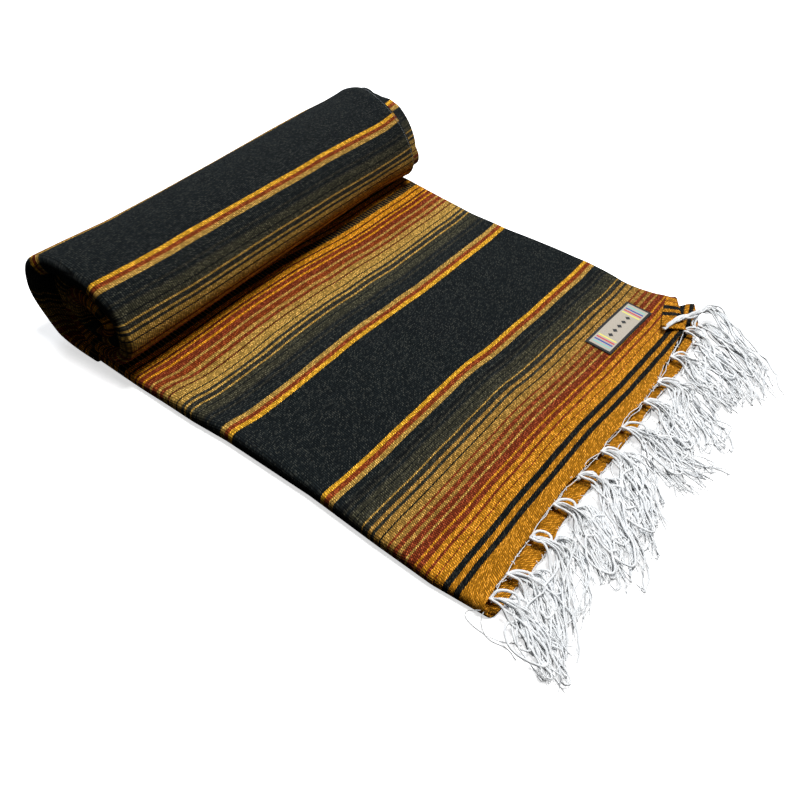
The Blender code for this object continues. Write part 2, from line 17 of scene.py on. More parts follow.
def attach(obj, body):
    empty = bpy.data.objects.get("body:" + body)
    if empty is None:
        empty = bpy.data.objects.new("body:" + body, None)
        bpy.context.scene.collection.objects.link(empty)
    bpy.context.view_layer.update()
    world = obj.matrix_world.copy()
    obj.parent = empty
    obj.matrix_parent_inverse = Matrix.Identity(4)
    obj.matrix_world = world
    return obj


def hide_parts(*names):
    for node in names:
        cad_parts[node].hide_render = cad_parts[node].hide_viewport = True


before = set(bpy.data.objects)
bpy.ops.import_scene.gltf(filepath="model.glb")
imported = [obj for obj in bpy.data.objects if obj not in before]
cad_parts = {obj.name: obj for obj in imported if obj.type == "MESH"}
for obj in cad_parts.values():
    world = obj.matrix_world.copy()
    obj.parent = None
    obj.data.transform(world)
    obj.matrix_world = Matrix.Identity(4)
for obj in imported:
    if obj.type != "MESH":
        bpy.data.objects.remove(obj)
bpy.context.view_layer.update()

MM = 0.001


def rows(kind, *values):
    """A table of rows of one kind."""
    return tuple(kind(*each) for each in values)



# ---- sizes shared with the solids -------------------------------------
LAYER = 2.1 * MM
GAP = 0.3 * MM
PITCH = LAYER + GAP
STACK_TOP = 4 * PITCH - GAP
FOLD_RADIUS = STACK_TOP / 2
SELVEDGE_Y = 380 * MM
ROLL_NEAR_X = -359 * MM
ROLL_FAR_X = -384 * MM
ROLL_NEAR_Y = -12 * MM
ROLL_TURNS = 3
ROLL_HEIGHT = 88 * MM
ROLL_LEAN = 12 * MM
CENTRE = np.array([-180.5, 174.5, 0.0]) * MM

Edge = namedtuple("Edge", "along out")
NEAR_FOLD = rows(Edge,
    (-385, -9), (-310, -9), (-257, -8), (-225, -5.5), (-146, -4.5), (-88, -7), (-41, -8), (0, -4.5),
    (15, -4)
)
FAR_EDGE = rows(Edge,
    (-385, 383), (-345, 384), (-320, 385), (-268, 380), (-230, 377), (-184, 378), (-152, 381),
    (-120, 382.5), (-92, 383.5), (-73, 382.4), (-63, 381.2), (-53, 378.8), (-44, 378.7), (-35, 379.7),
    (-27, 381.3), (-18, 383), (-8, 386)
)
UPPER_END = rows(Edge,
    (-8, 4), (25, 2), (60, -1), (93, -3), (127, -3), (160, 0), (193, 0), (228, 2), (262, 1), (301, -4),
    (343, -9), (386, -38)
)
LOWER_END = rows(Edge,
    (-8, 12), (57, 14), (93, 10), (120, 10), (222, 10), (255, 9), (302, 9), (332, 4), (352, 0), (376, -5),
    (390, -12), (402, -19)
)
CORNER_OUT = 17 * MM             # how far the lowest layers' far corner is pulled out

Wave = namedtuple("Wave", "x y turn length breadth height")
WAVES = rows(Wave,
    (-235, 212, -17, 95, 17, 2.2), (-225, 176, -15, 90, 15, -1.2), (-292, 18, 62, 34, 11, -1.8),
    (-262, 30, 70, 45, 13, 1.6), (-120, 36, 12, 70, 16, 1.3), (-150, 300, 8, 110, 24, 1.2),
    (-60, 150, -28, 60, 18, 1.5), (-40, 240, 15, 50, 16, -1.0), (-22, 352, -50, 26, 13, 2.6),
    (-185, 0, 0, 158, 16, 4.2)
)
WAVES_END_X = -320 * MM
WAVES_END_BREADTH = 25 * MM

Turn = namedtuple("Turn", "turn left right bottom top")
ROLL = rows(Turn,
    (0, -66.0, 68.0, 0.0, 95.5), (1, -50.5, 52.0, 9.9, 80.5), (2, -35.0, 36.0, 16.9, 65.5),
    (3, -19.5, 20.0, 23.5, 50.5), (4, -7.0, 7.5, 28.0, 38.0)
)
RollEnd = namedtuple("RollEnd", "turn near far layers")
# mm that the wraps stand back near, out far, and their layers past that
ROLL_ENDS = rows(RollEnd,
    (0.00, 0, -2, 4), (0.10, -4, -4, 4), (0.2, -3, -5, 5), (0.35, -3.5, -2, 6), (0.45, -2.5, -1, 10),
    (0.48, -2, -1, 7), (0.50, -1.5, -2, 6), (0.53, -0.8, -4, 9), (0.55, -0.3, -5, 14),
    (0.59, 0.5, -6.5, 17.5), (0.67, 1, -8.5, 16.5), (0.74, 0, -7, 13), (0.78, 0, -5, 16), (0.84, 0, -2, 19),
    (0.88, 0, -1, 18), (0.92, 1, 0, 15), (1.0, 3, 0, 9), (1.2, 11, 0, 3), (1.5, 13, 0, 5), (1.75, 9, 0, 4),
    (2.0, 9, 0, 2), (2.5, 7, 0, 5), (3.0, 9, 0, 3)
)
Swell = namedtuple("Swell", "along rise")
ROLL_TOP = rows(Swell,
    (-12, 0), (15, -1.5), (60, -5), (120, -5.5), (190, -4.5), (270, -2.5), (330, -2), (352, -1), (372, 3),
    (392, 5)
)
Squeeze = namedtuple("Squeeze", "along back foot")
# mm that the roll is pushed forward along its length, behind and at its foot
ROLL_SQUEEZE = rows(Squeeze,
    (-12, 0, 0), (325, 0, 3), (352, 3, 13), (372, 7, 22), (400, 8, 26)
)
FlapRow = namedtuple("FlapRow", "fold_x fold_y tip_x tip_y raised")
FLAP = rows(FlapRow,
    (-9.5, 344.5, -25.5, 329.5, 6.5), (-14.0, 351.0, -28.5, 337.5, 4.2), (-19.0, 358.5, -32.0, 347.0, 2.4),
    (-24.5, 366.5, -35.5, 356.5, 1.6), (-30.0, 376.5, -38.5, 367.0, 2.0), (-36.5, 387.5, -41.5, 380.0, 2.6)
)
FLAP_LAYER = 1.8 * MM
LABEL_CENTRE = (-56 * MM, 311 * MM)
LABEL_SIZE = (25.5 * MM, 78 * MM)
LABEL_TURN = math.radians(-2.0)
LABEL_THICKNESS = 0.9 * MM
LABEL_LIFT = 1.4 * GAP

RollMark = namedtuple("RollMark", "along crest front line")
# mm of the outer wrap, from the floor, at which stripes lie along the roll
ROLL_MARKS = rows(RollMark,
    (0, 134.0, 191.6, 229.0), (25, 133.0, 191.6, 229.5), (50, 132.0, 190.8, 230.0),
    (80, 129.0, 190.2, 230.5), (120, 127.0, 190.7, 230.5), (160, 126.0, 192.0, 231.5),
    (200, 126.5, 193.7, 232.5), (220, 127.5, 195.0, 233.0), (260, 130.0, 195.6, 234.5),
    (300, 129.0, 197.8, 236.5), (340, 126.0, 200.4, 237.2), (380, 123.0, 202.4, 237.6)
)
CREST_MM, FRONT_MM, LINE_MM, NEXT_LINE_MM = 460.0, 542.5, 586.7, 601.0   # where the chart has them
LINES_APART = 11.7               # mm on the roll between the last two
LAYER_SLIP = 15.0                # mm that the next layer's stripes lag behind

# ---- sizes of the weave -----------------------------------------------
RIB = 1.8                        # mm between warp cords, which make the cloth's fine ribs
PICK = 1.1                       # mm between the wefts that cover them
SLANT = 0.6                      # mm that a weft's twist carries it sideways over one cord
STEP_ON = 0.5                    # share of a weft's width that neighbouring cords are out of step
PICK_SHARPNESS, RIB_SHARPNESS = 1.4, 0.7    # how deep the hollows between wefts and between cords are, in relief and in painted shade
WANDER, WANDER_LENGTH = 1.0, 50 * MM        # mm that the wefts wander, and over what length
TOOTH = 0.6                      # mm that a stripe's edge steps at each cord
FUZZ = 0.35                      # how far the fibres stand up, as a share of the weft's own roundness
CLOTH_FUZZ = MM / 1.4            # from fibre to fibre: coarser than they are, so that they show
YARN_LIGHT, PALER = 0.85, 2.0    # lightness at a weft's crown, before painted shade in its hollows, and how much more the palest has
PALER_SELDOM, GLINT_SELDOM = 2.2, 4.0       # the higher, the fewer wefts are paler or let the warp show, with a painted highlight
HOLLOW_LIGHT, HOLLOW_SPREAD = 0.02, 0.20    # painted shade: lightness left between the wefts, and its unevenness
PATCH = MM / 0.09                # size of the patches in which it is uneven
HOLLOW_DEPTH = 1.15              # light that goes from weft to weft deepens the colour between them
LEAST_GLINT, GLINT = 0.055, 0.25  # the cotton's own white, partly painted highlight, in dark stripes, and the more in pale ones
YARN_TINT, YARN_FIBRE = MM / 0.11, MM / 1.6     # sizes of the fringe's greyer patches and its fibres
THREAD_TINT = MM / 0.26          # size of the sewing thread's greyer patches
DOT_PITCH, DOT_SHARE = 4.0, 0.36            # mm between dots in a dotted stripe, and a dot's share
ROLL_CHART_MM = 335.0            # where along the blanket, from its end, the roll begins
PATTERN_MM = 327.5               # one whole repeat of the stripes
BAND_MIDDLE_MM = 173.75          # middle of a charcoal band; the stripes mirror here and half a repeat on
TURNED_BORDER = 453.6            # middle of the one border whose three stripes run the other way round
TURNED_HALF = 6.4                # mm from there to its sides
CHART_BORDER = 2 * BAND_MIDDLE_MM + PATTERN_MM - TURNED_BORDER
WEAVE_MAP = "weave"              # UV map: metres along the blanket from its end, metres across it


# ---- small helpers ----------------------------------------------------
def interpolate(table, where, name):
    """Values of one named column of a table, at places along its first column."""
    return np.interp(where, [row[0] for row in table], [getattr(row, name) for row in table])


def edge(table, along):
    """Places of an edge, in metres, at distances in metres along it."""
    return interpolate(table, np.asarray(along) / MM, "out") * MM


def smooth_step(value):
    value = np.clip(value, 0.0, 1.0)
    return value * value * (3 - 2 * value)


def unit(vectors):
    """Vectors along the last axis, made one long."""
    return vectors / np.maximum(np.linalg.norm(vectors, axis=-1, keepdims=True), 1e-12)


def past_waves_end(x):
    """0 by the roll, where the soft folds and ripples have died out, and 1 past there."""
    return smooth_step((x - WAVES_END_X) / WAVES_END_BREADTH)


def top_height(x, y):
    """Height of the folded stack, with the soft folds in its top."""
    height = 0.0
    for wave in WAVES:
        turn = math.radians(wave.turn)
        dx, dy = x - wave.x * MM, y - wave.y * MM
        lengthways = (dx * math.cos(turn) + dy * math.sin(turn)) / (wave.length * MM)
        across = (dy * math.cos(turn) - dx * math.sin(turn)) / (wave.breadth * MM)
        height = height + wave.height * MM * np.exp(-across ** 2 - lengthways ** 4)
    return STACK_TOP + height * past_waves_end(x)


def roll_x(y):
    return ROLL_NEAR_X + (ROLL_FAR_X - ROLL_NEAR_X) * y / SELVEDGE_Y


def between_marks(place, marks, values, start):
    """Values that run evenly from each mark to the next, and keep their start outside the marks."""
    result = start
    for low, high, first, last in zip(marks, marks[1:], values, values[1:]):
        here = first + (last - first) * ((place - low) / (high - low))
        result = np.where((place >= low) & (place < high), here, result)
    return result


def linear(hex_colour):
    """An sRGB hex colour as the linear RGBA that shaders take."""
    channels = [int(hex_colour[k:k + 2], 16) / 255 for k in (1, 3, 5)]
    return (*[c / 12.92 if c <= 0.04045 else ((c + 0.055) / 1.055) ** 2.4 for c in channels], 1.0)


def set_inputs(tree, target, inputs):
    """Sets a node's inputs, by name or in order, each to a value, a node's first output or an output."""
    for socket, value in inputs.items() if isinstance(inputs, dict) else enumerate(inputs):
        if isinstance(value, bpy.types.Node):
            value = value.outputs[0]
        if isinstance(value, bpy.types.NodeSocket):
            tree.links.new(value, target.inputs[socket])
        else:
            target.inputs[socket].default_value = value


def node(tree, kind, inputs=(), **settings):
    """Adds one node with its settings and links."""
    made = tree.nodes.new(kind)
    for name, value in settings.items():
        setattr(made, name, value)
    set_inputs(tree, made, inputs)
    return made


def new_material(name):
    """A named material, its tree and its shader."""
    material = bpy.data.materials.new(name)
    material.use_nodes = True
    return material, material.node_tree, material.node_tree.nodes["Principled BSDF"]


def new_object(name, data):
    made = bpy.data.objects.new(name, data)
    bpy.context.scene.collection.objects.link(made)
    return made


def new_piece(name, points, faces, material, uvs=None):
    """A mesh piece from points in lay-out coordinates, with one UV pair for each point."""
    mesh = bpy.data.meshes.new(name)
    mesh.from_pydata([tuple(point) for point in np.asarray(points) - CENTRE], [], faces)
    if uvs is not None:
        layer = mesh.uv_layers.new(name=WEAVE_MAP)
        corners = np.zeros(len(mesh.loops), dtype=np.int32)
        mesh.loops.foreach_get("vertex_index", corners)
        layer.data.foreach_set("uv", np.asarray(uvs, dtype=np.float32)[corners].ravel())
    mesh.materials.append(material)
    mesh.shade_smooth()
    return new_object(name, mesh)


def quads(numbers):
    """The corners of each face of a grid of numbered points."""
    corners = numbers[:-1, :-1], numbers[1:, :-1], numbers[1:, 1:], numbers[:-1, 1:]
    return np.stack(corners, axis=-1).reshape(-1, 4)


def outwards(piece):
    """Turns every face of a closed piece outwards."""
    shape = bmesh.new()
    shape.from_mesh(piece.data)
    bmesh.ops.recalc_face_normals(shape, faces=shape.faces)
    shape.to_mesh(piece.data)
    shape.free()
    return piece


# ---- materials --------------------------------------------------------
CHARCOAL, SOOT, ASH = "#182023", "#14191B", "#2C302D"
OLIVE, MOSS = "#33332C", "#403F31"
YELLOW, MARIGOLD, AMBER, OCHRE = "#E9AE2A", "#E69C18", "#D5901D", "#CA8818"
EMBER, RUST, BRICK = "#944218", "#893A19", "#652812"
TAN, SAND = "#AD843C", "#C09848"
# tan of the dots in the chart's last, dotted stripe by the roll's foot: darker than TAN, partly painted
# shade
SHADED_DOT_TAN = "#8C6D34"
Stripe = namedtuple("Stripe", "start colour")
# from the knotted end to the middle of the first charcoal band, mm
END_CHART = rows(Stripe,
    (0, OCHRE), (14.3, SOOT), (18.3, OCHRE), (22.3, SOOT), (26.8, AMBER), (32.8, RUST), (33.8, AMBER),
    (38.5, RUST), (40.8, AMBER), (44.3, RUST), (48.1, AMBER), (49.4, RUST), (55.3, SAND), (56.8, RUST),
    (60.8, TAN), (63.8, RUST), (66.8, TAN), (70.8, RUST), (72.1, TAN), (77.8, SOOT), (79, TAN),
    (83.9, OLIVE), (86.3, TAN), (89.3, OLIVE), (93.7, SAND), (95.1, MOSS), (98, OLIVE), (99.5, MOSS),
    (101.6, SOOT), (102.6, MOSS), (106, OLIVE), (107.5, CHARCOAL), (109.5, OLIVE), (111.5, SOOT),
    (114.6, ASH), (116, CHARCOAL), (121, SAND), (125, EMBER), (129, YELLOW), (132.5, CHARCOAL)
)
# from the middle of a charcoal band to the next turning point, mm
ROLL_CHART = rows(Stripe,
    (173, CHARCOAL), (215, YELLOW), (219.5, EMBER), (223.2, SAND), (228, CHARCOAL), (233.8, ASH),
    (235, CHARCOAL), (239.5, OLIVE), (242, CHARCOAL), (244.6, OLIVE), (246.6, MOSS), (252.5, SOOT),
    (253.6, MOSS), (258.3, SAND), (259.9, OLIVE), (264.4, SAND), (267.1, OLIVE), (269.8, SAND),
    (274.5, SOOT), (275.5, SAND), (282.8, BRICK), (284.3, SAND), (289.5, RUST), (293, SAND), (296.6, EMBER),
    (302.2, SAND), (304.2, RUST), (310.8, MARIGOLD), (313, RUST), (317.2, MARIGOLD), (319.6, BRICK),
    (321.9, MARIGOLD), (327.2, BRICK), (328.9, MARIGOLD), (333.6, SOOT)
)
RAMP_STOPS = 30                  # a colour ramp holds at most 32


def charted(tree, place, chart):
    """The colour at a place in mm along a chart, from as many colour ramps as the chart needs."""
    add = partial(node, tree)
    for first in range(0, len(chart), RAMP_STOPS):
        part = chart[first:first + RAMP_STOPS]
        low, high = part[0].start, part[-1].start + 1.0
        share = add("ShaderNodeMapRange", (place, low, high))
        ramp = add("ShaderNodeValToRGB", (share,))
        ramp.color_ramp.interpolation = "CONSTANT"
        stops = ramp.color_ramp.elements
        while len(stops) < len(part):
            stops.new(1.0)
        for stop, stripe in zip(stops, part):
            stop.position = (stripe.start - low) / (high - low)
            stop.color = linear(stripe.colour)
        past = add("ShaderNodeMath", (place, low), operation="GREATER_THAN")
        before = colour.outputs[2] if first else ramp
        colour = add("ShaderNodeMix", {0: past, 6: before, 7: ramp}, data_type="RGBA")
    return colour.outputs[2]


def woven_cloth():
    """Serape cloth, acrylic wefts beaten down over cotton warp: matt, finely ribbed, with painted shade
    between the wefts, flecked where the warp shows, the flecks partly painted highlight, with stripes
    that waver and have toothed edges."""
    material, tree, shader = new_material("woven_serape_cloth")
    add = partial(node, tree)
    place = add("ShaderNodeUVMap", uv_map=WEAVE_MAP)
    split = add("ShaderNodeSeparateXYZ", (place,))
    along, across = [add("ShaderNodeMath", (split.outputs[number], 1 / MM), operation="MULTIPLY")
                     for number in (0, 1)]

    # the wefts don't lie quite straight, and cross each cord at a slant, in teeth
    wander = add("ShaderNodeTexNoise", {"Vector": place, "Scale": 1 / WANDER_LENGTH, "Detail": 1.0},
                 noise_dimensions="2D")
    drift = add("ShaderNodeMath", (wander, WANDER, -WANDER / 2), operation="MULTIPLY_ADD")
    drifted = add("ShaderNodeMath", (along, drift), operation="ADD")
    cord = add("ShaderNodeMath", (across, RIB), operation="DIVIDE")
    cord_number = add("ShaderNodeMath", (cord,), operation="FLOOR")
    cord_share = add("ShaderNodeMath", (cord,), operation="FRACT")
    centred = add("ShaderNodeMath", (cord_share, 0.5), operation="SUBTRACT")
    mm = add("ShaderNodeMath", (centred, -TOOTH, drifted), operation="MULTIPLY_ADD")

    # the stripes: one chart for the end, and one that mirrors back and forth for the rest
    from_middle = add("ShaderNodeMath", (mm, BAND_MIDDLE_MM), operation="SUBTRACT")
    mirrored = add("ShaderNodeMath", (from_middle, PATTERN_MM / 2), operation="PINGPONG")
    plain_mm = add("ShaderNodeMath", (mirrored, BAND_MIDDLE_MM), operation="ADD")
    turned = add("ShaderNodeMath", (mm, TURNED_BORDER, TURNED_HALF), operation="COMPARE")
    turned_mm = add("ShaderNodeMath", (CHART_BORDER * 2, plain_mm), operation="SUBTRACT")
    chart_mm = add("ShaderNodeMix", {0: turned, 2: plain_mm, 3: turned_mm})
    end_colour = charted(tree, mm, END_CHART)
    roll_colour = charted(tree, chart_mm, ROLL_CHART)
    past_band = add("ShaderNodeMath", (from_middle, 0.0), operation="GREATER_THAN")
    stripes = add("ShaderNodeMix", {0: past_band, 6: end_colour, 7: roll_colour}, data_type="RGBA")
    # the chart's last stripe is dotted, its dots in a tan darkened partly as painted shade
    last_stripe = add("ShaderNodeMath", (chart_mm, ROLL_CHART[-1].start), operation="GREATER_THAN")
    step = add("ShaderNodeMath", (across, 1 / DOT_PITCH), operation="MULTIPLY")
    dot = add("ShaderNodeMath", (add("ShaderNodeMath", (step,), operation="FRACT"), DOT_SHARE),
              operation="LESS_THAN")
    dotted = add("ShaderNodeMath", (last_stripe, dot), operation="MULTIPLY")
    dotted = add("ShaderNodeMath", (dotted, past_band), operation="MULTIPLY")
    stripes = add("ShaderNodeMix", {0: dotted, 6: stripes.outputs[2], 7: linear(SHADED_DOT_TAN)},
                  data_type="RGBA").outputs[2]

    # the bricks of the weave: a weft shows slanting over each cord, a part of a step on from the last
    slanted = add("ShaderNodeMath", (centred, -SLANT, drifted), operation="MULTIPLY_ADD")
    offset = add("ShaderNodeMath", (cord_number, STEP_ON), operation="MULTIPLY")
    row = add("ShaderNodeMath", (slanted, 1 / PICK, offset), operation="MULTIPLY_ADD")
    row_number = add("ShaderNodeMath", (row,), operation="FLOOR")
    row_share = add("ShaderNodeMath", (row,), operation="FRACT")
    arches = []
    for share, sharpness in ((row_share, PICK_SHARPNESS), (cord_share, RIB_SHARPNESS)):
        angle = add("ShaderNodeMath", (share, math.pi), operation="MULTIPLY")
        arch = add("ShaderNodeMath", (angle,), operation="SINE")
        arches.append(add("ShaderNodeMath", (arch, sharpness), operation="POWER"))
    brick = add("ShaderNodeMath", arches, operation="MULTIPLY")

    # yarn by yarn: painted shade between the bricks, some paler, and a few where the cotton warp shows,
    # partly as painted highlight
    cell = add("ShaderNodeCombineXYZ", (row_number, cord_number))
    chance = add("ShaderNodeTexWhiteNoise", {"Vector": cell}, noise_dimensions="2D")
    seldom = add("ShaderNodeMath", (chance, PALER_SELDOM), operation="POWER")
    lit = add("ShaderNodeMath", (seldom, PALER, YARN_LIGHT), operation="MULTIPLY_ADD")
    lit = add("ShaderNodeMath", (lit, brick), operation="MULTIPLY")
    patches = add("ShaderNodeTexNoise", {"Vector": place, "Scale": 1 / PATCH, "Detail": 3.0},
                  noise_dimensions="2D")
    hollows = add("ShaderNodeMath", (patches, HOLLOW_SPREAD, HOLLOW_LIGHT), operation="MULTIPLY_ADD")
    light = add("ShaderNodeMath", (lit, hollows), operation="ADD")
    # painted shade: in the hollows the stripes' colour deepens, as light goes from weft to weft
    deeper = add("ShaderNodeGamma", (stripes, HOLLOW_DEPTH))
    hollow_deepened = add("ShaderNodeMix", {0: brick, 6: deeper, 7: stripes}, data_type="RGBA").outputs[2]
    shaded = add("ShaderNodeVectorMath", {0: hollow_deepened, "Scale": light}, operation="SCALE")
    # a few wefts' crowns show the cotton warp's white, partly painted highlight, more in pale stripes
    bright = add("ShaderNodeRGBToBW", (stripes,))
    white = add("ShaderNodeMath", (bright, GLINT, LEAST_GLINT), operation="MULTIPLY_ADD")
    glint = add("ShaderNodeMath", (chance, GLINT_SELDOM), operation="POWER")
    glint = add("ShaderNodeMath", (glint, brick), operation="MULTIPLY")
    glint = add("ShaderNodeMath", (glint, white), operation="MULTIPLY")
    colour = add("ShaderNodeMix", {0: glint, 6: shaded, 7: linear("#E8D3A6")}, data_type="RGBA")

    fuzz = add("ShaderNodeTexNoise", {"Vector": place, "Scale": 1 / CLOTH_FUZZ}, noise_dimensions="2D")
    relief = add("ShaderNodeMath", (fuzz, FUZZ, brick), operation="MULTIPLY_ADD")
    bump = add("ShaderNodeBump", {"Strength": 0.75, "Distance": 0.4 * MM, "Height": relief})
    set_inputs(tree, shader, {
        "Base Color": colour.outputs[2], "Normal": bump, "Roughness": 0.92, "Specular IOR Level": 0.08,
        "Sheen Weight": 0.02, "Sheen Roughness": 0.5})
    return material


def cotton_yarn():
    """Loose unbleached-white cotton warp ends, softly twisted: matt, faintly grey in its hollows."""
    material, tree, shader = new_material("twisted_cotton_yarn")
    add = partial(node, tree)
    place = add("ShaderNodeTexCoord").outputs["Object"]
    tint = add("ShaderNodeTexNoise", {"Vector": place, "Scale": 1 / YARN_TINT})
    colour = add("ShaderNodeMix", {0: tint, 6: linear("#DDE1E4"), 7: linear("#F9F9F8")}, data_type="RGBA")
    fibres = add("ShaderNodeTexNoise", {"Vector": place, "Scale": 1 / YARN_FIBRE})
    bump = add("ShaderNodeBump", {"Strength": 0.5, "Distance": 0.25 * MM, "Height": fibres})
    set_inputs(tree, shader, {
        "Base Color": colour.outputs[2], "Normal": bump, "Roughness": 0.9, "Specular IOR Level": 0.25,
        "Sheen Weight": 0.45, "Subsurface Weight": 0.35, "Subsurface Radius": (1.0, 1.0, 1.0),
        "Subsurface Scale": 1.2 * MM})
    return material


def overlock_thread():
    """Grey polyester sewing thread, spun: a faint gloss on a thin dull line."""
    material, tree, shader = new_material("spun_sewing_thread")
    add = partial(node, tree)
    place = add("ShaderNodeTexCoord").outputs["Object"]
    tint = add("ShaderNodeTexNoise", {"Vector": place, "Scale": 1 / THREAD_TINT})
    colour = add("ShaderNodeMix", {0: tint, 6: linear("#5C6163"), 7: linear("#A3A8AA")}, data_type="RGBA")
    set_inputs(tree, shader, {"Base Color": colour.outputs[2], "Roughness": 0.6})
    return material


LABEL_BORDER = 2.5               # mm of dark edge round the label
LABEL_BARS = ("#7FB8B0", "#2F4A9C", "#C5384A", "#DDD56A")
BAR_PITCH = 3.6                  # mm from one coloured bar to the next
BAR_WIDTH = 1.8
BARS_FROM_END = 6.5
BARS_FROM_SIDE = 4.0
LOZENGE_HALF = 2.6
LOZENGE_PITCH = 8.0              # mm from one lozenge's middle to the next
LOZENGES_REACH = 19.0            # mm that their row reaches either way from the label's middle
LABEL_GRAIN, LABEL_RIB = MM / 0.9, MM / 0.38    # sizes of its mottling and its ribs


def label_tape():
    """Damask-woven label, fine polyester: close flat weave, dark edge, plain bars at its two ends and
    a row of small dark lozenges between them."""
    material, tree, shader = new_material("damask_woven_label")
    add = partial(node, tree)
    place = add("ShaderNodeUVMap", uv_map=WEAVE_MAP)
    split = add("ShaderNodeSeparateXYZ", (place,))
    from_middle = []
    for output in split.outputs[:2]:
        mm = add("ShaderNodeMath", (output, 1 / MM), operation="MULTIPLY")
        from_middle.append(add("ShaderNodeMath", (mm,), operation="ABSOLUTE"))
    half = [size / MM / 2 for size in LABEL_SIZE]

    grain = add("ShaderNodeTexNoise", {"Vector": place, "Scale": 1 / LABEL_GRAIN}, noise_dimensions="2D")
    colour = add("ShaderNodeMix", {0: grain, 6: linear("#9E9586"), 7: linear("#BDB4A6")}, data_type="RGBA")
    inside = add("ShaderNodeMath", (from_middle[0], half[0] - BARS_FROM_SIDE), operation="LESS_THAN")
    for number, bar in enumerate(LABEL_BARS):
        middle = half[1] - BARS_FROM_END - number * BAR_PITCH
        here = add("ShaderNodeMath", (from_middle[1], middle, BAR_WIDTH / 2), operation="COMPARE")
        here = add("ShaderNodeMath", (here, inside), operation="MULTIPLY")
        colour = add("ShaderNodeMix", {0: here, 6: colour.outputs[2], 7: linear(bar)}, data_type="RGBA")
    # lozenges: where the distances from a row of middles add up to less than their half-width
    spaced = add("ShaderNodeMath", (from_middle[1], LOZENGE_PITCH / 2), operation="PINGPONG")
    spread = add("ShaderNodeMath", (from_middle[0], spaced), operation="ADD")
    lozenge = add("ShaderNodeMath", (spread, LOZENGE_HALF), operation="LESS_THAN")
    central = add("ShaderNodeMath", (from_middle[1], LOZENGES_REACH), operation="LESS_THAN")
    lozenge = add("ShaderNodeMath", (lozenge, central), operation="MULTIPLY")
    colour = add("ShaderNodeMix", {0: lozenge, 6: colour.outputs[2], 7: linear("#202325")},
                 data_type="RGBA")
    sides = [add("ShaderNodeMath", (distance, reach - LABEL_BORDER), operation="GREATER_THAN")
             for distance, reach in zip(from_middle, half)]
    border = add("ShaderNodeMath", sides, operation="MAXIMUM")
    colour = add("ShaderNodeMix", {0: border, 6: colour.outputs[2], 7: linear("#0D0F10")}, data_type="RGBA")
    ribs = add("ShaderNodeTexWave", {"Vector": place, "Scale": 1 / LABEL_RIB, "Distortion": 0.6})
    bump = add("ShaderNodeBump", {"Strength": 0.4, "Distance": 0.15 * MM, "Height": ribs})
    set_inputs(tree, shader, {"Base Color": colour.outputs[2], "Normal": bump, "Roughness": 0.7})
    return material


def lit_board():
    """White acrylic board lit from below: flat, bright, no sheen."""
    material, tree, shader = new_material("backlit_white_acrylic")
    set_inputs(tree, shader, {
        "Base Color": linear("#FBFBFB"), "Roughness": 0.9, "Specular IOR Level": 0.1,
        "Emission Color": linear("#FFFFFF"), "Emission Strength": 0.65})
    return material


CLOTH = woven_cloth()
YARN = cotton_yarn()
THREAD = overlock_thread()
TAPE = label_tape()


# ---- cloth from a middle surface --------------------------------------
EDGE_CROWD = (0.0, 0.12, 0.35, 0.7, 1.3)    # where stations crowd near an edge, in thicknesses from it
CUT_EDGE = 0.08                             # share of its half-thickness left, at least, at a cut edge


def spread_stations(length, spacing, thickness):
    """Distances along a path, evenly spaced but for a few close to its two ends."""
    inner = np.linspace(thickness * 2, length - thickness * 2, max(int(length / spacing), 2))
    start = [k * thickness for k in EDGE_CROWD]
    end = [length - k * thickness for k in reversed(EDGE_CROWD)]
    return np.array([*start, *inner, *end])


def cloth_piece(name, middle, uv, from_edge, thickness, material=CLOTH):
    """A closed sheet round a middle surface; from_edge is each point's distance to the cut edge."""
    half = thickness / 2
    rounded = np.sqrt(1 - (1 - np.clip(from_edge / half, CUT_EDGE, 1.0)) ** 2)[..., None] * half
    normal = unit(np.cross(np.gradient(middle, axis=0), np.gradient(middle, axis=1)))
    over, under = middle + normal * rounded, middle - normal * rounded
    rows_in, columns = middle.shape[:2]
    points = np.concatenate([over.reshape(-1, 3), under.reshape(-1, 3)])
    flat_uv = uv.reshape(-1, 2)
    number = np.arange(rows_in * columns).reshape(rows_in, columns)
    below = number + number.size
    faces = []
    for sheet, way in ((number, 1), (below, -1)):
        faces += quads(sheet)[:, ::way].tolist()
    rim = [*number[:, 0], *number[-1, 1:], *number[-2::-1, -1], *number[0, -2:0:-1]]
    for here, after in zip(rim, rim[1:] + rim[:1]):
        faces.append([after, here, here + number.size, after + number.size])
    return outwards(new_piece(name, points, faces, material, np.concatenate([flat_uv, flat_uv])))


# ---- flat stretch -----------------------------------------------------
Tassel = namedtuple("Tassel", "y tip_x tip_y spread")    # mm: its knot, and where its tips lie about
UPPER_TASSELS = rows(Tassel,
    (4, 68, -9, 6), (27, 64, -2, 11), (62, 60, 13, 15), (98, 61, 68, 12), (134, 75, 88, 12),
    (166, 70, 122, 15), (200, 76, 184, 14), (238, 61, 214, 11), (269, 65, 216, 15), (306, 66, 288, 13),
    (346, 66, 312, 10)
)
LOWER_TASSELS = rows(Tassel,
    (8, 65, -17, 4), (40, 58, 2, 12), (74, 57, 18, 11), (108, 68, 72, 13), (141, 73, 92, 14),
    (175, 69, 134, 16), (208, 80, 208, 12), (242, 58, 218, 10), (275, 73, 242, 15), (309, 62, 288, 13),
    (342, 76, 306, 11), (372, 74, 332, 8)
)
KNOTS = [tassel.y for tassel in UPPER_TASSELS]
LOWER_KNOTS = [tassel.y for tassel in LOWER_TASSELS]
SCALLOP = 0.9 * MM                       # how far the edge draws back between its knots
SCALLOP_REACH = 13 * MM                  # and how far from a knot it does so in full
TURNED_CORNER_Y = 338 * MM               # past here the upper end is turned back
FLAT_LENGTH = 360 * MM                   # about, from the roll to the end
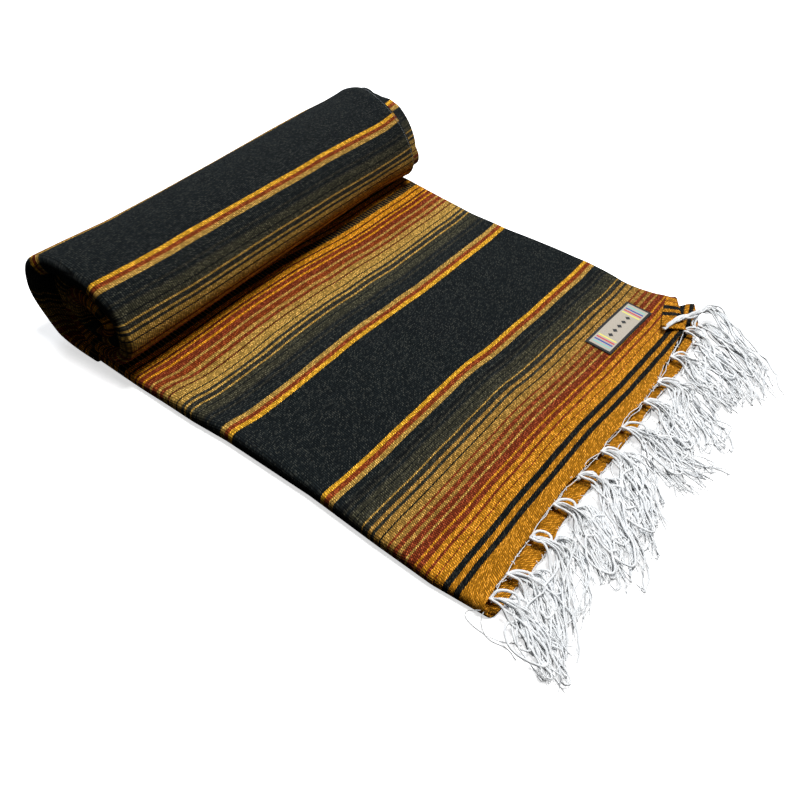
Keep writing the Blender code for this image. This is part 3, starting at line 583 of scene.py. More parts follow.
FOLD_STEPS = 13
STEP_OUT_FROM, STEP_OUT_OVER = 0.92, 0.10       # shares of the length where the lower corner steps out
UNDER_ROLL = 1.2 * MM                    # how far the layers stop short of the roll
CURL, CURL_REACH = 0.9, 7 * MM           # mm that the upper end curls up, and how far in from its edge
RIPPLE = 0.16                            # mm of fine unevenness all over
Pull = namedtuple("Pull", "y ahead")
# mm that the lower layer's stripes stand ahead of the upper one's, along the end that shows
PULLED = rows(Pull, (300, 6.5), (314, 5.4), (331, 4.0), (351, 2.9), (368, -1.5), (400, -10.7))
PULLED_FROM_X = -60 * MM
SHIFT_FIRST = -60                        # mm from the end, out past it
SHIFT_STATIONS = (20, 90, 130, 218, 262, 312)        # mm from the end, and how far, in mm, the stripes
Shift = namedtuple("Shift", "y a b c d e f")         # stand nearer to the end there, along y
SHIFTS = rows(Shift,
    (0, 1.8, 3.0, 3.5, 2.1, 6.8, 7.6), (20, 0.9, 1.7, 2.9, 2.4, 7.3, 7.6),
    (50, 0.7, 2.0, 2.7, 2.5, 6.6, 6.2), (80, 0.0, 0.9, 1.5, 2.0, 4.8, 3.9),
    (100, 0.0, 0.6, 1.0, 0.8, 2.9, 2.7), (125, 0.5, 0.3, 0.7, -0.2, 1.4, 2.1),
    (160, 0.0, 0.1, -0.1, -0.6, 0.9, 1.9), (180, 0.2, 0.5, 0.3, 0.1, 0.7, 1.9),
    (200, 1.3, 2.2, 2.3, 2.6, 2.4, 3.2), (222, 2.5, 3.0, 2.9, 2.5, 4.5, 4.8),
    (245, 3.6, 3.3, 3.2, 2.2, 3.8, 6.6), (280, 4.7, 4.5, 4.9, 2.5, 3.5, 7.0),
    (320, 5.2, 5.3, 4.8, 1.6, 2.5, 5.4), (350, 5.8, 5.5, 5.0, 1.2, 2.3, 5.2),
    (375, 6.0, 4.4, 4.0, -0.4, 0.4, 4.0)
)


def scalloped(y, knots, depth=SCALLOP):
    """How far a knotted end draws back at a distance along it: not at its knots, most between them."""
    places = np.array(knots) * MM
    nearest = np.abs(np.asarray(y)[..., None] - places).min(axis=-1)
    return depth * smooth_step(nearest / SCALLOP_REACH)


def weave_along(x, y):
    """Distance along the blanket from its end, with the stripes' slow wandering."""
    from_end = -x / MM
    marks = (SHIFT_FIRST, *SHIFT_STATIONS, ROLL_CHART_MM)
    shifts = [interpolate(SHIFTS, y / MM, name) for name in "aabcdeff"]
    past = np.where(from_end >= ROLL_CHART_MM, shifts[-1], 0.0)
    return (from_end + between_marks(from_end, marks, shifts, past)) * MM


def folded_sheet(name, radius, squareness, upper_in, lower_in, spacing):
    """Two layers joined round the near fold, from the lower one's selvedge to the upper one's.

    radius is the fold's middle line, and squareness is 1 for a round fold and less for a steeper one.
    upper_in and lower_in are how far the two layers' selvedges and ends stand back.
    """
    flat = spread_stations(SELVEDGE_Y, spacing, LAYER) / SELVEDGE_Y
    arc = np.linspace(-90, 90, FOLD_STEPS)[1:-1]
    # path: share of the way to the selvedge, turn round the fold, 1 on the lower layer
    path = [(share, -90.0, 1) for share in flat[:0:-1]] + [(0.0, -90.0, 1)]
    path += [(0.0, turn, turn < 0) for turn in arc] + [(share, 90.0, 0) for share in flat]
    share, turn, lower = np.array(path).T
    stations = spread_stations(FLAT_LENGTH, spacing, LAYER) / FLAT_LENGTH
    station, share = np.meshgrid(stations, share, indexing="ij")
    turn = np.broadcast_to(np.radians(turn), station.shape)
    lower = np.broadcast_to(lower > 0, station.shape)

    guess_x = roll_x(0.0) * (1 - station)
    near = edge(NEAR_FOLD, guess_x)
    far = edge(FAR_EDGE, guess_x) - np.where(lower, lower_in, upper_in)
    stepped = smooth_step((station - STEP_OUT_FROM) / STEP_OUT_OVER)
    far = far + np.where(lower, CORNER_OUT * stepped, 0.0)
    on_flat = np.abs(turn) > math.radians(89.9)
    middle_y = near + FOLD_RADIUS
    round_y = middle_y - radius * np.cos(turn) ** squareness
    y = np.where(on_flat, middle_y + share * (far - near - FOLD_RADIUS), round_y)
    z = FOLD_RADIUS + radius * np.sin(turn)
    rise = (np.degrees(turn) + 90) / 180
    upper_x = edge(UPPER_END, y) - upper_in - scalloped(y, KNOTS) * (y < TURNED_CORNER_Y)
    lower_x = edge(LOWER_END, y) - lower_in - scalloped(y, LOWER_KNOTS)
    end = lower_x + (upper_x - lower_x) * rise
    start = roll_x(y) + UNDER_ROLL
    x = start + (end - start) * station
    lift = top_height(x, y) / STACK_TOP
    # the upper end curls off the layers under it between its knots, and a fine unevenness all over
    curl = np.exp(-((end - x) / CURL_REACH) ** 2) * scalloped(y, KNOTS, CURL) * rise
    bent = np.sin(y / MM * 0.05) * 2
    ripple = np.sin(x / MM * 0.13 + bent) * np.sin(y / MM * 0.09 + x / MM * 0.03)
    z = z * lift + (curl + ripple * RIPPLE * past_waves_end(x)) * MM * rise
    middle = np.stack([x, y, z], axis=-1)
    steps = np.linalg.norm(np.diff(middle, axis=1), axis=2)
    travelled = np.concatenate([np.zeros((len(stations), 1)), np.cumsum(steps, axis=1)], axis=1)
    ahead = np.where(x > PULLED_FROM_X, interpolate(PULLED, y / MM, "ahead"), PULLED[0].ahead)
    skewed = np.where(lower, smooth_step(share * 4) * ahead * MM, 0.0)
    uv = np.stack([weave_along(x, y) + skewed, travelled], axis=-1)
    to_selvedge = np.minimum(travelled, travelled[:, -1:] - travelled)
    to_end = np.minimum(end - x, x - start)
    return cloth_piece(name, middle, uv, np.minimum(to_selvedge, to_end), LAYER)


# ---- turned-back corner -----------------------------------------------
FLAP_OUTWARD = np.array([0.814, 0.581])
FLAP_LENGTH = 55 * MM
FLAP_EDGE = 11 * MM                      # one row's step along the flap's fold
FLAP_TURNS = np.radians(np.linspace(-70, 75, 10))
FLAP_SHARES = (0.06, 0.15, 0.26, 0.38, 0.5, 0.62, 0.74, 0.84, 0.92, 0.96, 0.985, 1.0)
FLAP_WIDER = 1.2                         # its stripes stand this much wider apart


def corner_flap():
    """The upper layer's corner turned back over itself, its knotted edge curling up at the tip."""
    stations = spread_stations(FLAP_LENGTH, 2 * MM, FLAP_LAYER) / FLAP_LENGTH * (len(FLAP) - 1)
    radius = LAYER / 2 + GAP * 1.5 + FLAP_LAYER / 2
    fringe_line = np.array(FLAP[0][:2]) * MM
    fringe_way = unit(np.array(FLAP[0][2:4]) * MM - fringe_line)
    middle, uv, edges = [], [], []
    for station in stations:
        row = [float(np.interp(station, range(len(FLAP)), values)) for values in zip(*FLAP)]
        fold, tip, raised = np.array(row[:2]) * MM, np.array(row[2:4]) * MM, row[4] * MM
        along_edge = min(station, len(FLAP) - 1 - station) * FLAP_EDGE
        level = top_height(*fold) - LAYER / 2
        line, from_edge = [], []
        for turn in FLAP_TURNS:
            flat = fold + FLAP_OUTWARD * radius * math.cos(turn)
            line.append((*flat, level + radius * math.sin(turn)))
            from_edge.append(max(min(radius * (turn - FLAP_TURNS[0]), along_edge), 0.0))
        for share in FLAP_SHARES:
            flat = fold + (tip - fold) * share
            line.append((*flat, top_height(*flat) + 2 * GAP + raised * share ** 2 + FLAP_LAYER / 2))
            from_edge.append(min((1 - share) * np.linalg.norm(tip - fold), along_edge))
        away = np.array(line)[:, :2] - fringe_line
        distance = np.abs(away[:, 0] * fringe_way[1] - away[:, 1] * fringe_way[0])
        uv.append(np.stack([distance / FLAP_WIDER, away @ fringe_way], axis=-1))
        middle.append(line)
        edges.append(from_edge)
    return cloth_piece("corner_flap_cloth", np.array(middle), np.array(uv), np.array(edges), FLAP_LAYER)


# ---- roll -------------------------------------------------------------
STEPS_IN_TURN = 96
NOSE = 5.5 * MM                          # how far the fold at the near end rounds over
NEAR_RIPPLES = ((19, 0, 0.5), (47, 1, 0.3))     # of the near end: pace, start and mm
STAND_OUT = (0.0, 1.0, 0.72, 0.3)        # how far each layer's selvedge stands out, outermost first
# a layer's rounded selvedge: share of its thickness, and mm back from its rim
SELVEDGE_PROFILE = ((0.06, 1.3), (0.2, 0.35), (0.5, 0.0), (0.8, 0.35), (0.94, 1.3))
GROOVE, GROOVE_SHARE = 4 * MM, 0.03      # depth between two selvedges, and half its width in layers
RIM_BACK = 2.6 * MM                      # how far from the rim a wrap's plain face ends
WRAP_MAP = 8 * MM                        # of the weave, over the selvedges of a wrap's four layers
BACK_FULLNESS, FOOT_FULLNESS = 0.6, 0.4  # how full the squeezed roll's back and foot are


def roll_outline(turn, y):
    """Points of the spiral that the stack's outer face follows."""
    left, right, bottom, top = [interpolate(ROLL, turn, name) * MM for name in Turn._fields[1:]]
    angle = 2 * math.pi * turn
    x = roll_x(y) + (left + right) / 2 - (right - left) / 2 * np.sin(angle)
    z = (bottom + top) / 2 - (top - bottom) / 2 * np.cos(angle)
    back, foot = [interpolate(ROLL_SQUEEZE, y / MM, name) for name in Squeeze._fields[1:]]
    low = np.clip(1 - z / ROLL_HEIGHT, 0, 1) ** 3 * (turn < 1)
    behind = np.clip(np.sin(angle), 0, 1) ** BACK_FULLNESS
    before = np.clip(-np.sin(angle), 0, 1) ** FOOT_FULLNESS
    x = x + (back * behind + foot * before * low) * MM
    z = z + interpolate(ROLL_TOP, y / MM, "rise") * MM * (z / ROLL_HEIGHT) ** 2
    return x - ROLL_LEAN * z / ROLL_HEIGHT, z


def between_wraps(turn, y, share):
    """A point between a wrap's outer face, share 0, and the next wrap's, share 1."""
    x0, z0 = roll_outline(turn, y)
    x1, z1 = roll_outline(turn + 1, y)
    share = share * (1 - GAP / np.maximum(np.hypot(x1 - x0, z1 - z0), 4 * MM))
    return np.stack([x0 + (x1 - x0) * share, y + 0 * x0, z0 + (z1 - z0) * share], axis=-1)


def stripes_on_roll(travelled, y):
    """Distance along the blanket, as the chart counts it, at lengths of the outer wrap from the floor.

    Between the marks along the roll the weave is a little closer or looser, as it is by hand."""
    crest, front, line = [interpolate(ROLL_MARKS, y / MM, name) for name in RollMark._fields[1:]]
    once_round = travelled[STEPS_IN_TURN] / MM + 0 * y
    marks = (0 * y, crest, front, line, line + LINES_APART, once_round)
    once_round_mm = ROLL_CHART_MM + PATTERN_MM
    charted_mm = (ROLL_CHART_MM, CREST_MM, FRONT_MM, LINE_MM, NEXT_LINE_MM, once_round_mm)
    length = travelled / MM
    return between_marks(length, marks, charted_mm, once_round_mm + length - once_round) * MM


def rolled_cloth():
    """The rolled part of the folded blanket, four layers thick: one strip wound inwards, with its
    fold along the near end and its four selvedges, some standing out, along the far end."""
    turns = np.arange(ROLL_TURNS * STEPS_IN_TURN + 1) / STEPS_IN_TURN
    near, far, layers = [interpolate(ROLL_ENDS, turns, name) * MM for name in RollEnd._fields[1:]]
    near, far = near + ROLL_NEAR_Y, far + SELVEDGE_Y
    for pace, first, size in NEAR_RIPPLES:
        near = near + np.sin(turns * pace + first) * size * MM
    # one closed section: share across the wrap, y at each turn, and the layer it belongs to
    ring = [(0.5 - 0.5 * math.cos(turn), near + NOSE * (1 - math.sin(turn) ** 0.7), -1)
            for turn in np.linspace(math.pi, 0, 15)]
    reach = [far + layers * part for part in STAND_OUT]
    profile = []
    for number, out in enumerate(reach):
        for share, back in SELVEDGE_PROFILE:
            profile.append(((number + share) / 4, out - back * MM, number))
        if number < 3:
            groove = np.minimum(out, reach[number + 1]) - GROOVE
            profile.append(((number + 1 - GROOVE_SHARE) / 4, groove, number))
            profile.append(((number + 1 + GROOVE_SHARE) / 4, groove, number + 1))
    start, outer_end, inner_end = near + NOSE, far - RIM_BACK, reach[3] - RIM_BACK
    shares = np.linspace(0, 1, 46)[1:-1]
    ring += [(0.0, start + (outer_end - start) * share, 0) for share in [*shares, 1.0]] + profile
    ring += [(1.0, start + (inner_end - start) * share, 3) for share in [1.0, *shares[::-2]]]
    across, columns_y, layer = [np.array(entries) for entries in zip(*ring)]
    columns_y = columns_y.T

    grid_turns = np.repeat(turns[:, None], len(ring), axis=1)
    points = between_wraps(grid_turns, columns_y, across[None, :])
    # length along the blanket, measured on the outer face half way along the roll
    x, z = roll_outline(turns, SELVEDGE_Y / 2 + 0 * turns)
    travelled = np.concatenate([[0.0], np.cumsum(np.hypot(np.diff(x), np.diff(z)))])
    slip = np.where(layer[None, :] > 0, LAYER_SLIP * MM, 0.0)
    along = stripes_on_roll(travelled[:, None], columns_y) + slip
    uv = np.stack([along, columns_y + across[None, :] * WRAP_MAP], axis=-1)

    number = np.arange(columns_y.size).reshape(columns_y.shape)
    faces = quads(np.hstack([number, number[:, :1]])).tolist()
    faces += [number[0, ::-1].tolist(), number[-1].tolist()]
    return outwards(new_piece("rolled_cloth", points.reshape(-1, 3), faces, CLOTH, uv.reshape(-1, 2)))


# ---- label ------------------------------------------------------------
def sewn_label():
    """The label, laid on the upper layer's own surface and a little fuller than it."""
    width, length = LABEL_SIZE
    rows_at = spread_stations(length, 2 * MM, LABEL_THICKNESS) - length / 2
    columns_at = spread_stations(width, 2 * MM, LABEL_THICKNESS) - width / 2
    along, across = np.meshgrid(rows_at, columns_at, indexing="ij")
    x = LABEL_CENTRE[0] + across * math.cos(LABEL_TURN) - along * math.sin(LABEL_TURN)
    y = LABEL_CENTRE[1] + across * math.sin(LABEL_TURN) + along * math.cos(LABEL_TURN)
    z = top_height(x, y) + LABEL_LIFT + LABEL_THICKNESS / 2
    edges = np.minimum(length / 2 - np.abs(along), width / 2 - np.abs(across))
    middle, uv = np.stack([x, y, z], axis=-1), np.stack([across, along], axis=-1)
    return cloth_piece("sewn_label", middle, uv, edges, LABEL_THICKNESS, TAPE)


# ---- fringe: guide lines for every yarn, then crinkled yarn along them ----
YARN_RADIUS = 0.85 * MM
CLUMPS = 5                       # bunches of yarns that one tassel falls into
CLUMP_SCATTER = (0.15, 0.25, 0.5)
CURL_BACK = 0.22                 # share of the yarns that curl back at their ends
NO_LOOP = 0.45                   # share of the tassels without a loop
FRAYED = 0.32                    # thickness of the fine ends, as a share of a yarn's
CUT_END, LOOSE_END = 0.38, 0.3   # thickness of the warp ends along the edge
CRINKLE_EASE = 4.0               # the crinkles are full from a quarter of a yarn's length on
NOISE_REACH = 4.0                # noise strays about an eighth either way: this makes it a half


def guide_curves(name, lines):
    """A curve object with one poly spline for each line: (points in lay-out mm, radii)."""
    data = bpy.data.curves.new(name, "CURVE")
    data.dimensions = "3D"
    for points, radii in lines:
        spline = data.splines.new("POLY")
        spline.points.add(len(points) - 1)
        places = np.concatenate([np.asarray(points) * MM - CENTRE, np.ones((len(points), 1))], axis=1)
        spline.points.foreach_set("co", places.ravel())
        spline.points.foreach_set("radius", np.full(len(points), radii))
    return new_object(name, data)


def smooth_line(points, count):
    """A smooth line through a few points, as count points."""
    points = np.asarray(points, dtype=float)
    before, after = 2 * points[0] - points[1], 2 * points[-1] - points[-2]
    padded = np.vstack([before, points, after])
    result = []
    for place in np.linspace(0, len(points) - 1, count):
        number = min(int(place), len(points) - 2)
        share = place - number
        a, b, c, d = padded[number:number + 4]
        result.append(0.5 * (2 * b + (c - a) * share + (2 * a - 5 * b + 4 * c - d) * share ** 2
                             + (3 * b - a - 3 * c + d) * share ** 3))
    return np.array(result)


def tapered(count, place, radii):
    """Radii along a line: the first from its root, the second at a place, the third at its tip."""
    return np.interp(np.linspace(0, 1, count), (0, place, 1), radii)


def knot_and_way(end_table, tassel, root_z, floor_z, out):
    """A tassel's knot, a little out from the edge, and the way from it to its tips, in mm."""
    knot = np.array([edge(end_table, tassel.y * MM) / MM + out, tassel.y, root_z])
    return knot, np.array([tassel.tip_x, tassel.tip_y, floor_z]) - knot


def tassel_lines(rng, end_table, tassel, root_z, floor_z, yarns, ledge):
    """The lines of one tassel: a few clumps of yarns that leave the knot, arch, fall and stray over the
    floor, the fine ends that some fray into, and the knot's own turns."""
    knot, way = knot_and_way(end_table, tassel, root_z, floor_z, 0.8)
    lines = []
    for clump in range(CLUMPS):
        place = (clump + 0.5) / CLUMPS - 0.5 + rng.uniform(-0.08, 0.08)
        reach = rng.uniform(0.74, 1.04)
        bows = [(rng.uniform(-4, 5), rng.uniform(-0.5, 0.5) * tassel.spread) for _ in range(3)]
        lift = rng.uniform(1.0, 5.0)
        for _ in range(clump, yarns, CLUMPS):
            tip = knot + way * reach * rng.uniform(0.80, 1.06)
            tip[1] += tassel.spread * (place * 2.0 + rng.gauss(0, rng.choice(CLUMP_SCATTER)))
            tip_x, tip_y = tip[:2]
            out_x, out_y = tip[:2] - knot[:2]
            fan = place * tassel.spread * 1.1 + rng.uniform(-2, 2)
            (x1, y1), (x2, y2), (x3, y3) = [
                (dx + rng.gauss(0, 2.4), dy + rng.gauss(0, 0.25) * tassel.spread) for dx, dy in bows]
            rest = floor_z + rng.uniform(0.0, 4.5)
            points = [
                knot,
                knot + (2 + ledge * 0.3, 2 + fan * 0.1, lift),
                knot + (4 + ledge + x1 * 0.5, 5 + fan * 0.35 + y1 * 0.25, lift * 0.5),
                knot + (ledge + out_x * 0.18 + x1, 5 + out_y * 0.10 + fan + y1 * 0.5,
                        (rest - root_z) * 0.6 + lift * 0.3),
                knot + (out_x * 0.58 + x2, out_y * 0.30 + fan + y2, rest - root_z),
                knot + (out_x * 0.84 + x3, out_y * 0.62 + fan * 0.7 + y3, (rest + floor_z) * 0.5 - root_z),
                (tip_x, tip_y, floor_z + rng.uniform(0, 1.2)),
            ]
            if rng.random() < CURL_BACK:
                turn = rng.choice((-1, 1)) * rng.uniform(3, 6)
                points += [(tip_x - turn * 0.3, tip_y - abs(turn), floor_z + 1.5),
                           (tip_x - abs(turn) * 1.3, tip_y - abs(turn) * 0.4, floor_z + 2.5)]
            line = smooth_line(points, 38)
            line[:, 2] = np.maximum(line[:, 2], floor_z)
            lines.append((line, tapered(38, 0.8, (0.95, 0.85, 0.45)) * rng.uniform(0.62, 1.08)))
            for _ in range(rng.choice((0, 1, 2))):
                stray = np.array([rng.uniform(-3, 5), rng.uniform(-5, 5), rng.uniform(-0.2, 1.2)])
                lines.append((line[-7:] + np.linspace(0, 1, 7)[:, None] ** 1.5 * stray, FRAYED))
    winding = [knot + (0.5 + 1.6 * share, 1.5 * math.cos(share * 15), 1.5 * math.sin(share * 15))
               for share in np.linspace(0, 1, 22)]
    return lines + [(winding, 1.05)]


def loop_lines(rng, end_table, tassel, root_z, floor_z):
    """Thicker yarns: two that bow out of the knot before they join its tassel, and one that comes back
    on itself in a loop over the others."""
    knot, way = knot_and_way(end_table, tassel, root_z, floor_z, 0.5)
    drop = floor_z - root_z
    lines = []
    for side in (-1, 1):
        bow, height = rng.uniform(4, 9), rng.uniform(1.5, 4.5)
        points = [
            knot + (0, 0, 0.6),
            knot + (rng.uniform(1, 5), 2 + side * bow * 0.6, height),
            knot + (rng.uniform(10, 15), 4 + side * bow * 0.8, height * 0.6),
            knot + (way[0] * 0.36, way[1] * 0.2 + side * bow * 0.4, min(0.0, drop + 4)),
            knot + (way[0] * 0.60, way[1] * 0.45 + side * 4, drop + 3),
            knot + (way[0] * rng.uniform(0.8, 1.0), way[1] * 0.85 + side * 4, drop + 1),
        ]
        lines.append((smooth_line(points, 34), tapered(34, 0.7, (1.25, 1.1, 0.6))))
    if rng.random() < NO_LOOP:
        return lines
    far, width = rng.uniform(0.45, 0.85), rng.choice((-1, 1)) * rng.uniform(8, 14)
    over = drop + 4.5
    points = [knot + (way[0] * 0.15, way[1] * 0.05, max(over, 1.0))]
    for out, along, aside, down in ((0.6, 0.4, -0.3, 0), (1, 1, -0.2, 0.5), (1.05, 1, 0.6, 1),
                                    (0.7, 0.8, 1, 0), (0.4, 0.5, 0.5, 0), (0.5, 0.7, -0.6, 1)):
        points.append(knot + (way[0] * far * out, way[1] * far * along + width * aside, over - down))
    return lines + [(smooth_line(points, 46), 1.05)]


def edge_lines(rng, end_table, knots, level):
    """Cut warp ends laid along the edge from each knot to the next, with short frayed ones among them."""
    def rim_at(y):
        return edge(end_table, y * MM) / MM - scalloped(y * MM, knots) / MM

    lines = []
    for low, high in zip(knots, knots[1:]):
        along = np.linspace(low, high, 12)
        for rise in (0.0, 0.9):
            line = [(x + 0.3 + rng.uniform(-0.2, 0.3), y, level + rise + rng.uniform(-0.2, 0.2))
                    for x, y in zip(rim_at(along), along)]
            lines.append((smooth_line(line, 36), CUT_END))
        for _ in range(5):
            y = rng.uniform(low + 3, high - 3)
            rim = rim_at(y)
            lean = rng.choice((-1, 1)) * rng.uniform(1.5, 4)
            line = [(rim - rng.uniform(0.5, 2.0), y, level + 1.1), (rim + 0.6, y + lean * 0.5, level + 0.9),
                    (rim + rng.uniform(0.6, 2.0), y + lean, level)]
            lines.append((smooth_line(line, 6), LOOSE_END))
    return lines


def new_tree(name, taken, numbers):
    """A named tree that is given lines and numbers and makes geometry, and its given values."""
    tree = bpy.data.node_groups.new(name, "GeometryNodeTree")
    face = tree.interface
    face.new_socket(taken, in_out="INPUT", socket_type="NodeSocketGeometry")
    for socket, value in numbers.items():
        face.new_socket(socket, in_out="INPUT", socket_type="NodeSocketFloat").default_value = value
    face.new_socket("Made", in_out="OUTPUT", socket_type="NodeSocketGeometry")
    return tree, node(tree, "NodeGroupInput").outputs


def hand_out(tree, geometry, material):
    """Ends a tree: real geometry, smooth and with its material."""
    real = node(tree, "GeometryNodeRealizeInstances", (geometry,))
    smooth = node(tree, "GeometryNodeSetShadeSmooth", (real,))
    coloured = node(tree, "GeometryNodeSetMaterial", {"Geometry": smooth, "Material": material})
    node(tree, "NodeGroupOutput", {"Made": coloured})


def yarn_tree():
    """Nodes that resample guide lines, crinkle them, keep them off the floor and give them
    a round section."""
    tree, given = new_tree("yarn_along_lines", "Lines", {
        "Yarn radius": YARN_RADIUS, "Step": 2.2 * MM, "Crinkle size": 2.6 * MM,
        "Crinkles per metre": 42.0, "Difference": 0.4, "Seed": 1.0})
    add = partial(node, tree)
    line = add("GeometryNodeResampleCurve", {"Curve": given["Lines"], "Length": given["Step"]},
               mode="LENGTH")
    number = add("GeometryNodeCurveOfPoint").outputs["Curve Index"]
    own = add("ShaderNodeMath", (number, given["Difference"], given["Seed"]), operation="MULTIPLY_ADD")
    noise = add("ShaderNodeTexNoise", {"Scale": given["Crinkles per metre"], "W": own, "Detail": 1.5,
                                       "Roughness": 0.42}, noise_dimensions="4D")
    centred = add("ShaderNodeVectorMath", (noise.outputs["Color"], (0.5, 0.5, 0.5)), operation="SUBTRACT")
    share = add("GeometryNodeSplineParameter").outputs["Factor"]
    eased = add("ShaderNodeMath", (share, CRINKLE_EASE), operation="MULTIPLY", use_clamp=True)
    amount = add("ShaderNodeMath", (eased, given["Crinkle size"]), operation="MULTIPLY")
    amount = add("ShaderNodeMath", (amount, NOISE_REACH), operation="MULTIPLY")
    crinkle = add("ShaderNodeVectorMath", {0: centred, "Scale": amount}, operation="SCALE")
    moved = add("GeometryNodeSetPosition", {"Geometry": line, "Offset": crinkle})
    here = add("ShaderNodeSeparateXYZ", (add("GeometryNodeInputPosition"),))
    thickness = add("GeometryNodeInputRadius")
    half = add("ShaderNodeMath", (thickness, given["Yarn radius"]), operation="MULTIPLY")
    off_floor = add("ShaderNodeMath", (here.outputs["Z"], half), operation="MAXIMUM")
    kept = add("ShaderNodeCombineXYZ", (here.outputs["X"], here.outputs["Y"], off_floor))
    laid = add("GeometryNodeSetPosition", {"Geometry": moved, "Position": kept})
    section = add("GeometryNodeCurvePrimitiveCircle", {"Resolution": 5, "Radius": given["Yarn radius"]})
    tube = add("GeometryNodeCurveToMesh", {"Curve": laid, "Profile Curve": section, "Scale": thickness,
                                           "Fill Caps": True})
    hand_out(tree, tube, YARN)
    return tree


def stitch_tree():
    """Nodes that set short slanted stitches, evenly spaced, along a line."""
    tree, given = new_tree("stitches_along_line", "Line", {
        "Thread radius": 0.2 * MM, "Stitch length": 2.2 * MM, "Pitch": 2.6 * MM, "Slant": 0.5})
    add = partial(node, tree)
    line = add("GeometryNodeResampleCurve", {"Curve": given["Line"], "Length": given["Pitch"]},
               mode="LENGTH")
    stitch = add("GeometryNodeMeshCylinder", {"Vertices": 5, "Radius": given["Thread radius"],
                                              "Depth": given["Stitch length"]})
    way = add("GeometryNodeInputTangent")
    sideways = add("ShaderNodeCombineXYZ", {1: given["Slant"]})
    slanted = add("ShaderNodeVectorMath", (way, sideways), operation="ADD")
    turned = add("FunctionNodeAlignRotationToVector", {"Vector": slanted}, axis="Z")
    placed = add("GeometryNodeInstanceOnPoints", {"Points": line, "Instance": stitch.outputs["Mesh"],
                                                  "Rotation": turned})
    hand_out(tree, placed, THREAD)
    return tree


def grown(name, lines, tree, seed=None):
    """Runs a tree on guide lines and keeps the result as a plain mesh piece."""
    guides = guide_curves(name + "_guides", lines)
    modifier = guides.modifiers.new("along_lines", "NODES")
    modifier.node_group = tree
    for item in tree.interface.items_tree:
        if item.name == "Seed":
            modifier[item.identifier] = seed
    bpy.context.view_layer.update()
    graph = bpy.context.evaluated_depsgraph_get()
    mesh = bpy.data.meshes.new_from_object(guides.evaluated_get(graph), depsgraph=graph)
    mesh.name = name
    bpy.data.objects.remove(guides)
    return new_object(name, mesh)


def fringe(name, tree, end_table, tassels, seed, root_z, floor_z, yarns, ledge):
    """One end's tassels and cut warp ends. In mm, root_z and floor_z are the heights of its knots and
    of what it falls on, and ledge is how far it lies out over the layers below before it falls."""
    rng = random.Random(seed)
    lines = []
    for tassel in tassels:
        lines += tassel_lines(rng, end_table, tassel, root_z, floor_z, yarns, ledge)
        lines += loop_lines(rng, end_table, tassel, root_z, floor_z)
    lines += edge_lines(rng, end_table, [tassel.y for tassel in tassels], root_z)
    return grown(name, lines, tree, float(seed))


# middle line of the turned-back corner's tassel, and two of its cords that drop straight down
CORNER_TASSEL = np.array([
    (-23.3, 329.8, 15), (-21.5, 339, 16.5), (-17.3, 351.5, 17), (-12.4, 363.5, 16), (-8.7, 375.7, 15),
    (-5.8, 386, 14), (-0.4, 391.5, 12), (8.5, 390.3, 10), (19, 384, 8), (28, 376, 6), (40, 369, 4.5),
    (55, 362, 4), (63, 351, 3), (75, 339, 2.5), (86, 330, 2)])
CORNER_CORD = np.array([
    (-12, 364, 17), (-7.5, 371, 14), (-6.9, 361.4, 11), (-1.8, 355.4, 9), (5.3, 354.1, 8),
    (12.4, 354.9, 7), (20.4, 347.4, 5), (29, 335.5, 4), (38.6, 321.5, 3), (46, 308, 2)])
STRAYS = (                       # thin loose threads by the near corner
    ((3, -5, 6), (-4, -8, 2), (2, -13, 1), (12, -14.5, 1), (22, -12, 1), (34, -7, 1)),
    ((5, -4, 6), (8, -10, 1.5), (18, -15, 1), (30, -13, 1), (38, -16, 1)),
)
CORNER_CORDS = 9
CORNER_SPREAD = 17               # mm from its first cord to its last, where it is widest


def corner_tassel(tree):
    """The turned-back corner's tassel, lying back over the flap, and the near corner's stray threads."""
    rng = random.Random(11)
    count = len(CORNER_TASSEL)
    lines = []
    shares = np.linspace(0, 1, count)
    ahead = np.gradient(CORNER_TASSEL, axis=0)
    sideways = unit(np.stack([-ahead[:, 1], ahead[:, 0], 0 * shares], axis=1))
    widening = 0.12 + smooth_step(shares * 1.5 - 0.3)[:, None]
    for number in range(CORNER_CORDS):
        across = (number / (CORNER_CORDS - 1) - 0.5) * CORNER_SPREAD
        wander = np.array([[rng.uniform(-2.5, 2.5), rng.uniform(-2.5, 2.5), rng.uniform(-0.8, 1.6)]
                           for _ in range(count)])
        wander[0] = 0.0
        points = CORNER_TASSEL + sideways * across * widening + wander * shares[:, None] ** 0.5
        line = smooth_line(points[:count - number % 4], 44)
        lines.append((line, tapered(44, 0.8, (1.1, 1.1, 0.5))))
        stray = [rng.uniform(-3, 3), rng.uniform(-4, 2), rng.uniform(-0.5, 1)]
        lines.append((line[-9:] + np.linspace(0, 1, 9)[:, None] * stray, 0.4))
    for side in (-1.0, 1.0):
        lines.append((smooth_line(CORNER_CORD + (0, side, 0), 40), tapered(40, 0.8, (1.1, 1.0, 0.5))))
    lines += [(smooth_line(stray, 30), 0.42) for stray in STRAYS]
    return grown("corner_tassel_yarn", lines, tree, 7.0)


STITCHED_TURNS = (0.2, 0.96)             # from and to which turn of the roll its end is stitched
STITCHED_BACK = 3.2 * MM                 # the stitches' distance from the outermost selvedge
STITCHES_PROUD = 0.1 * MM


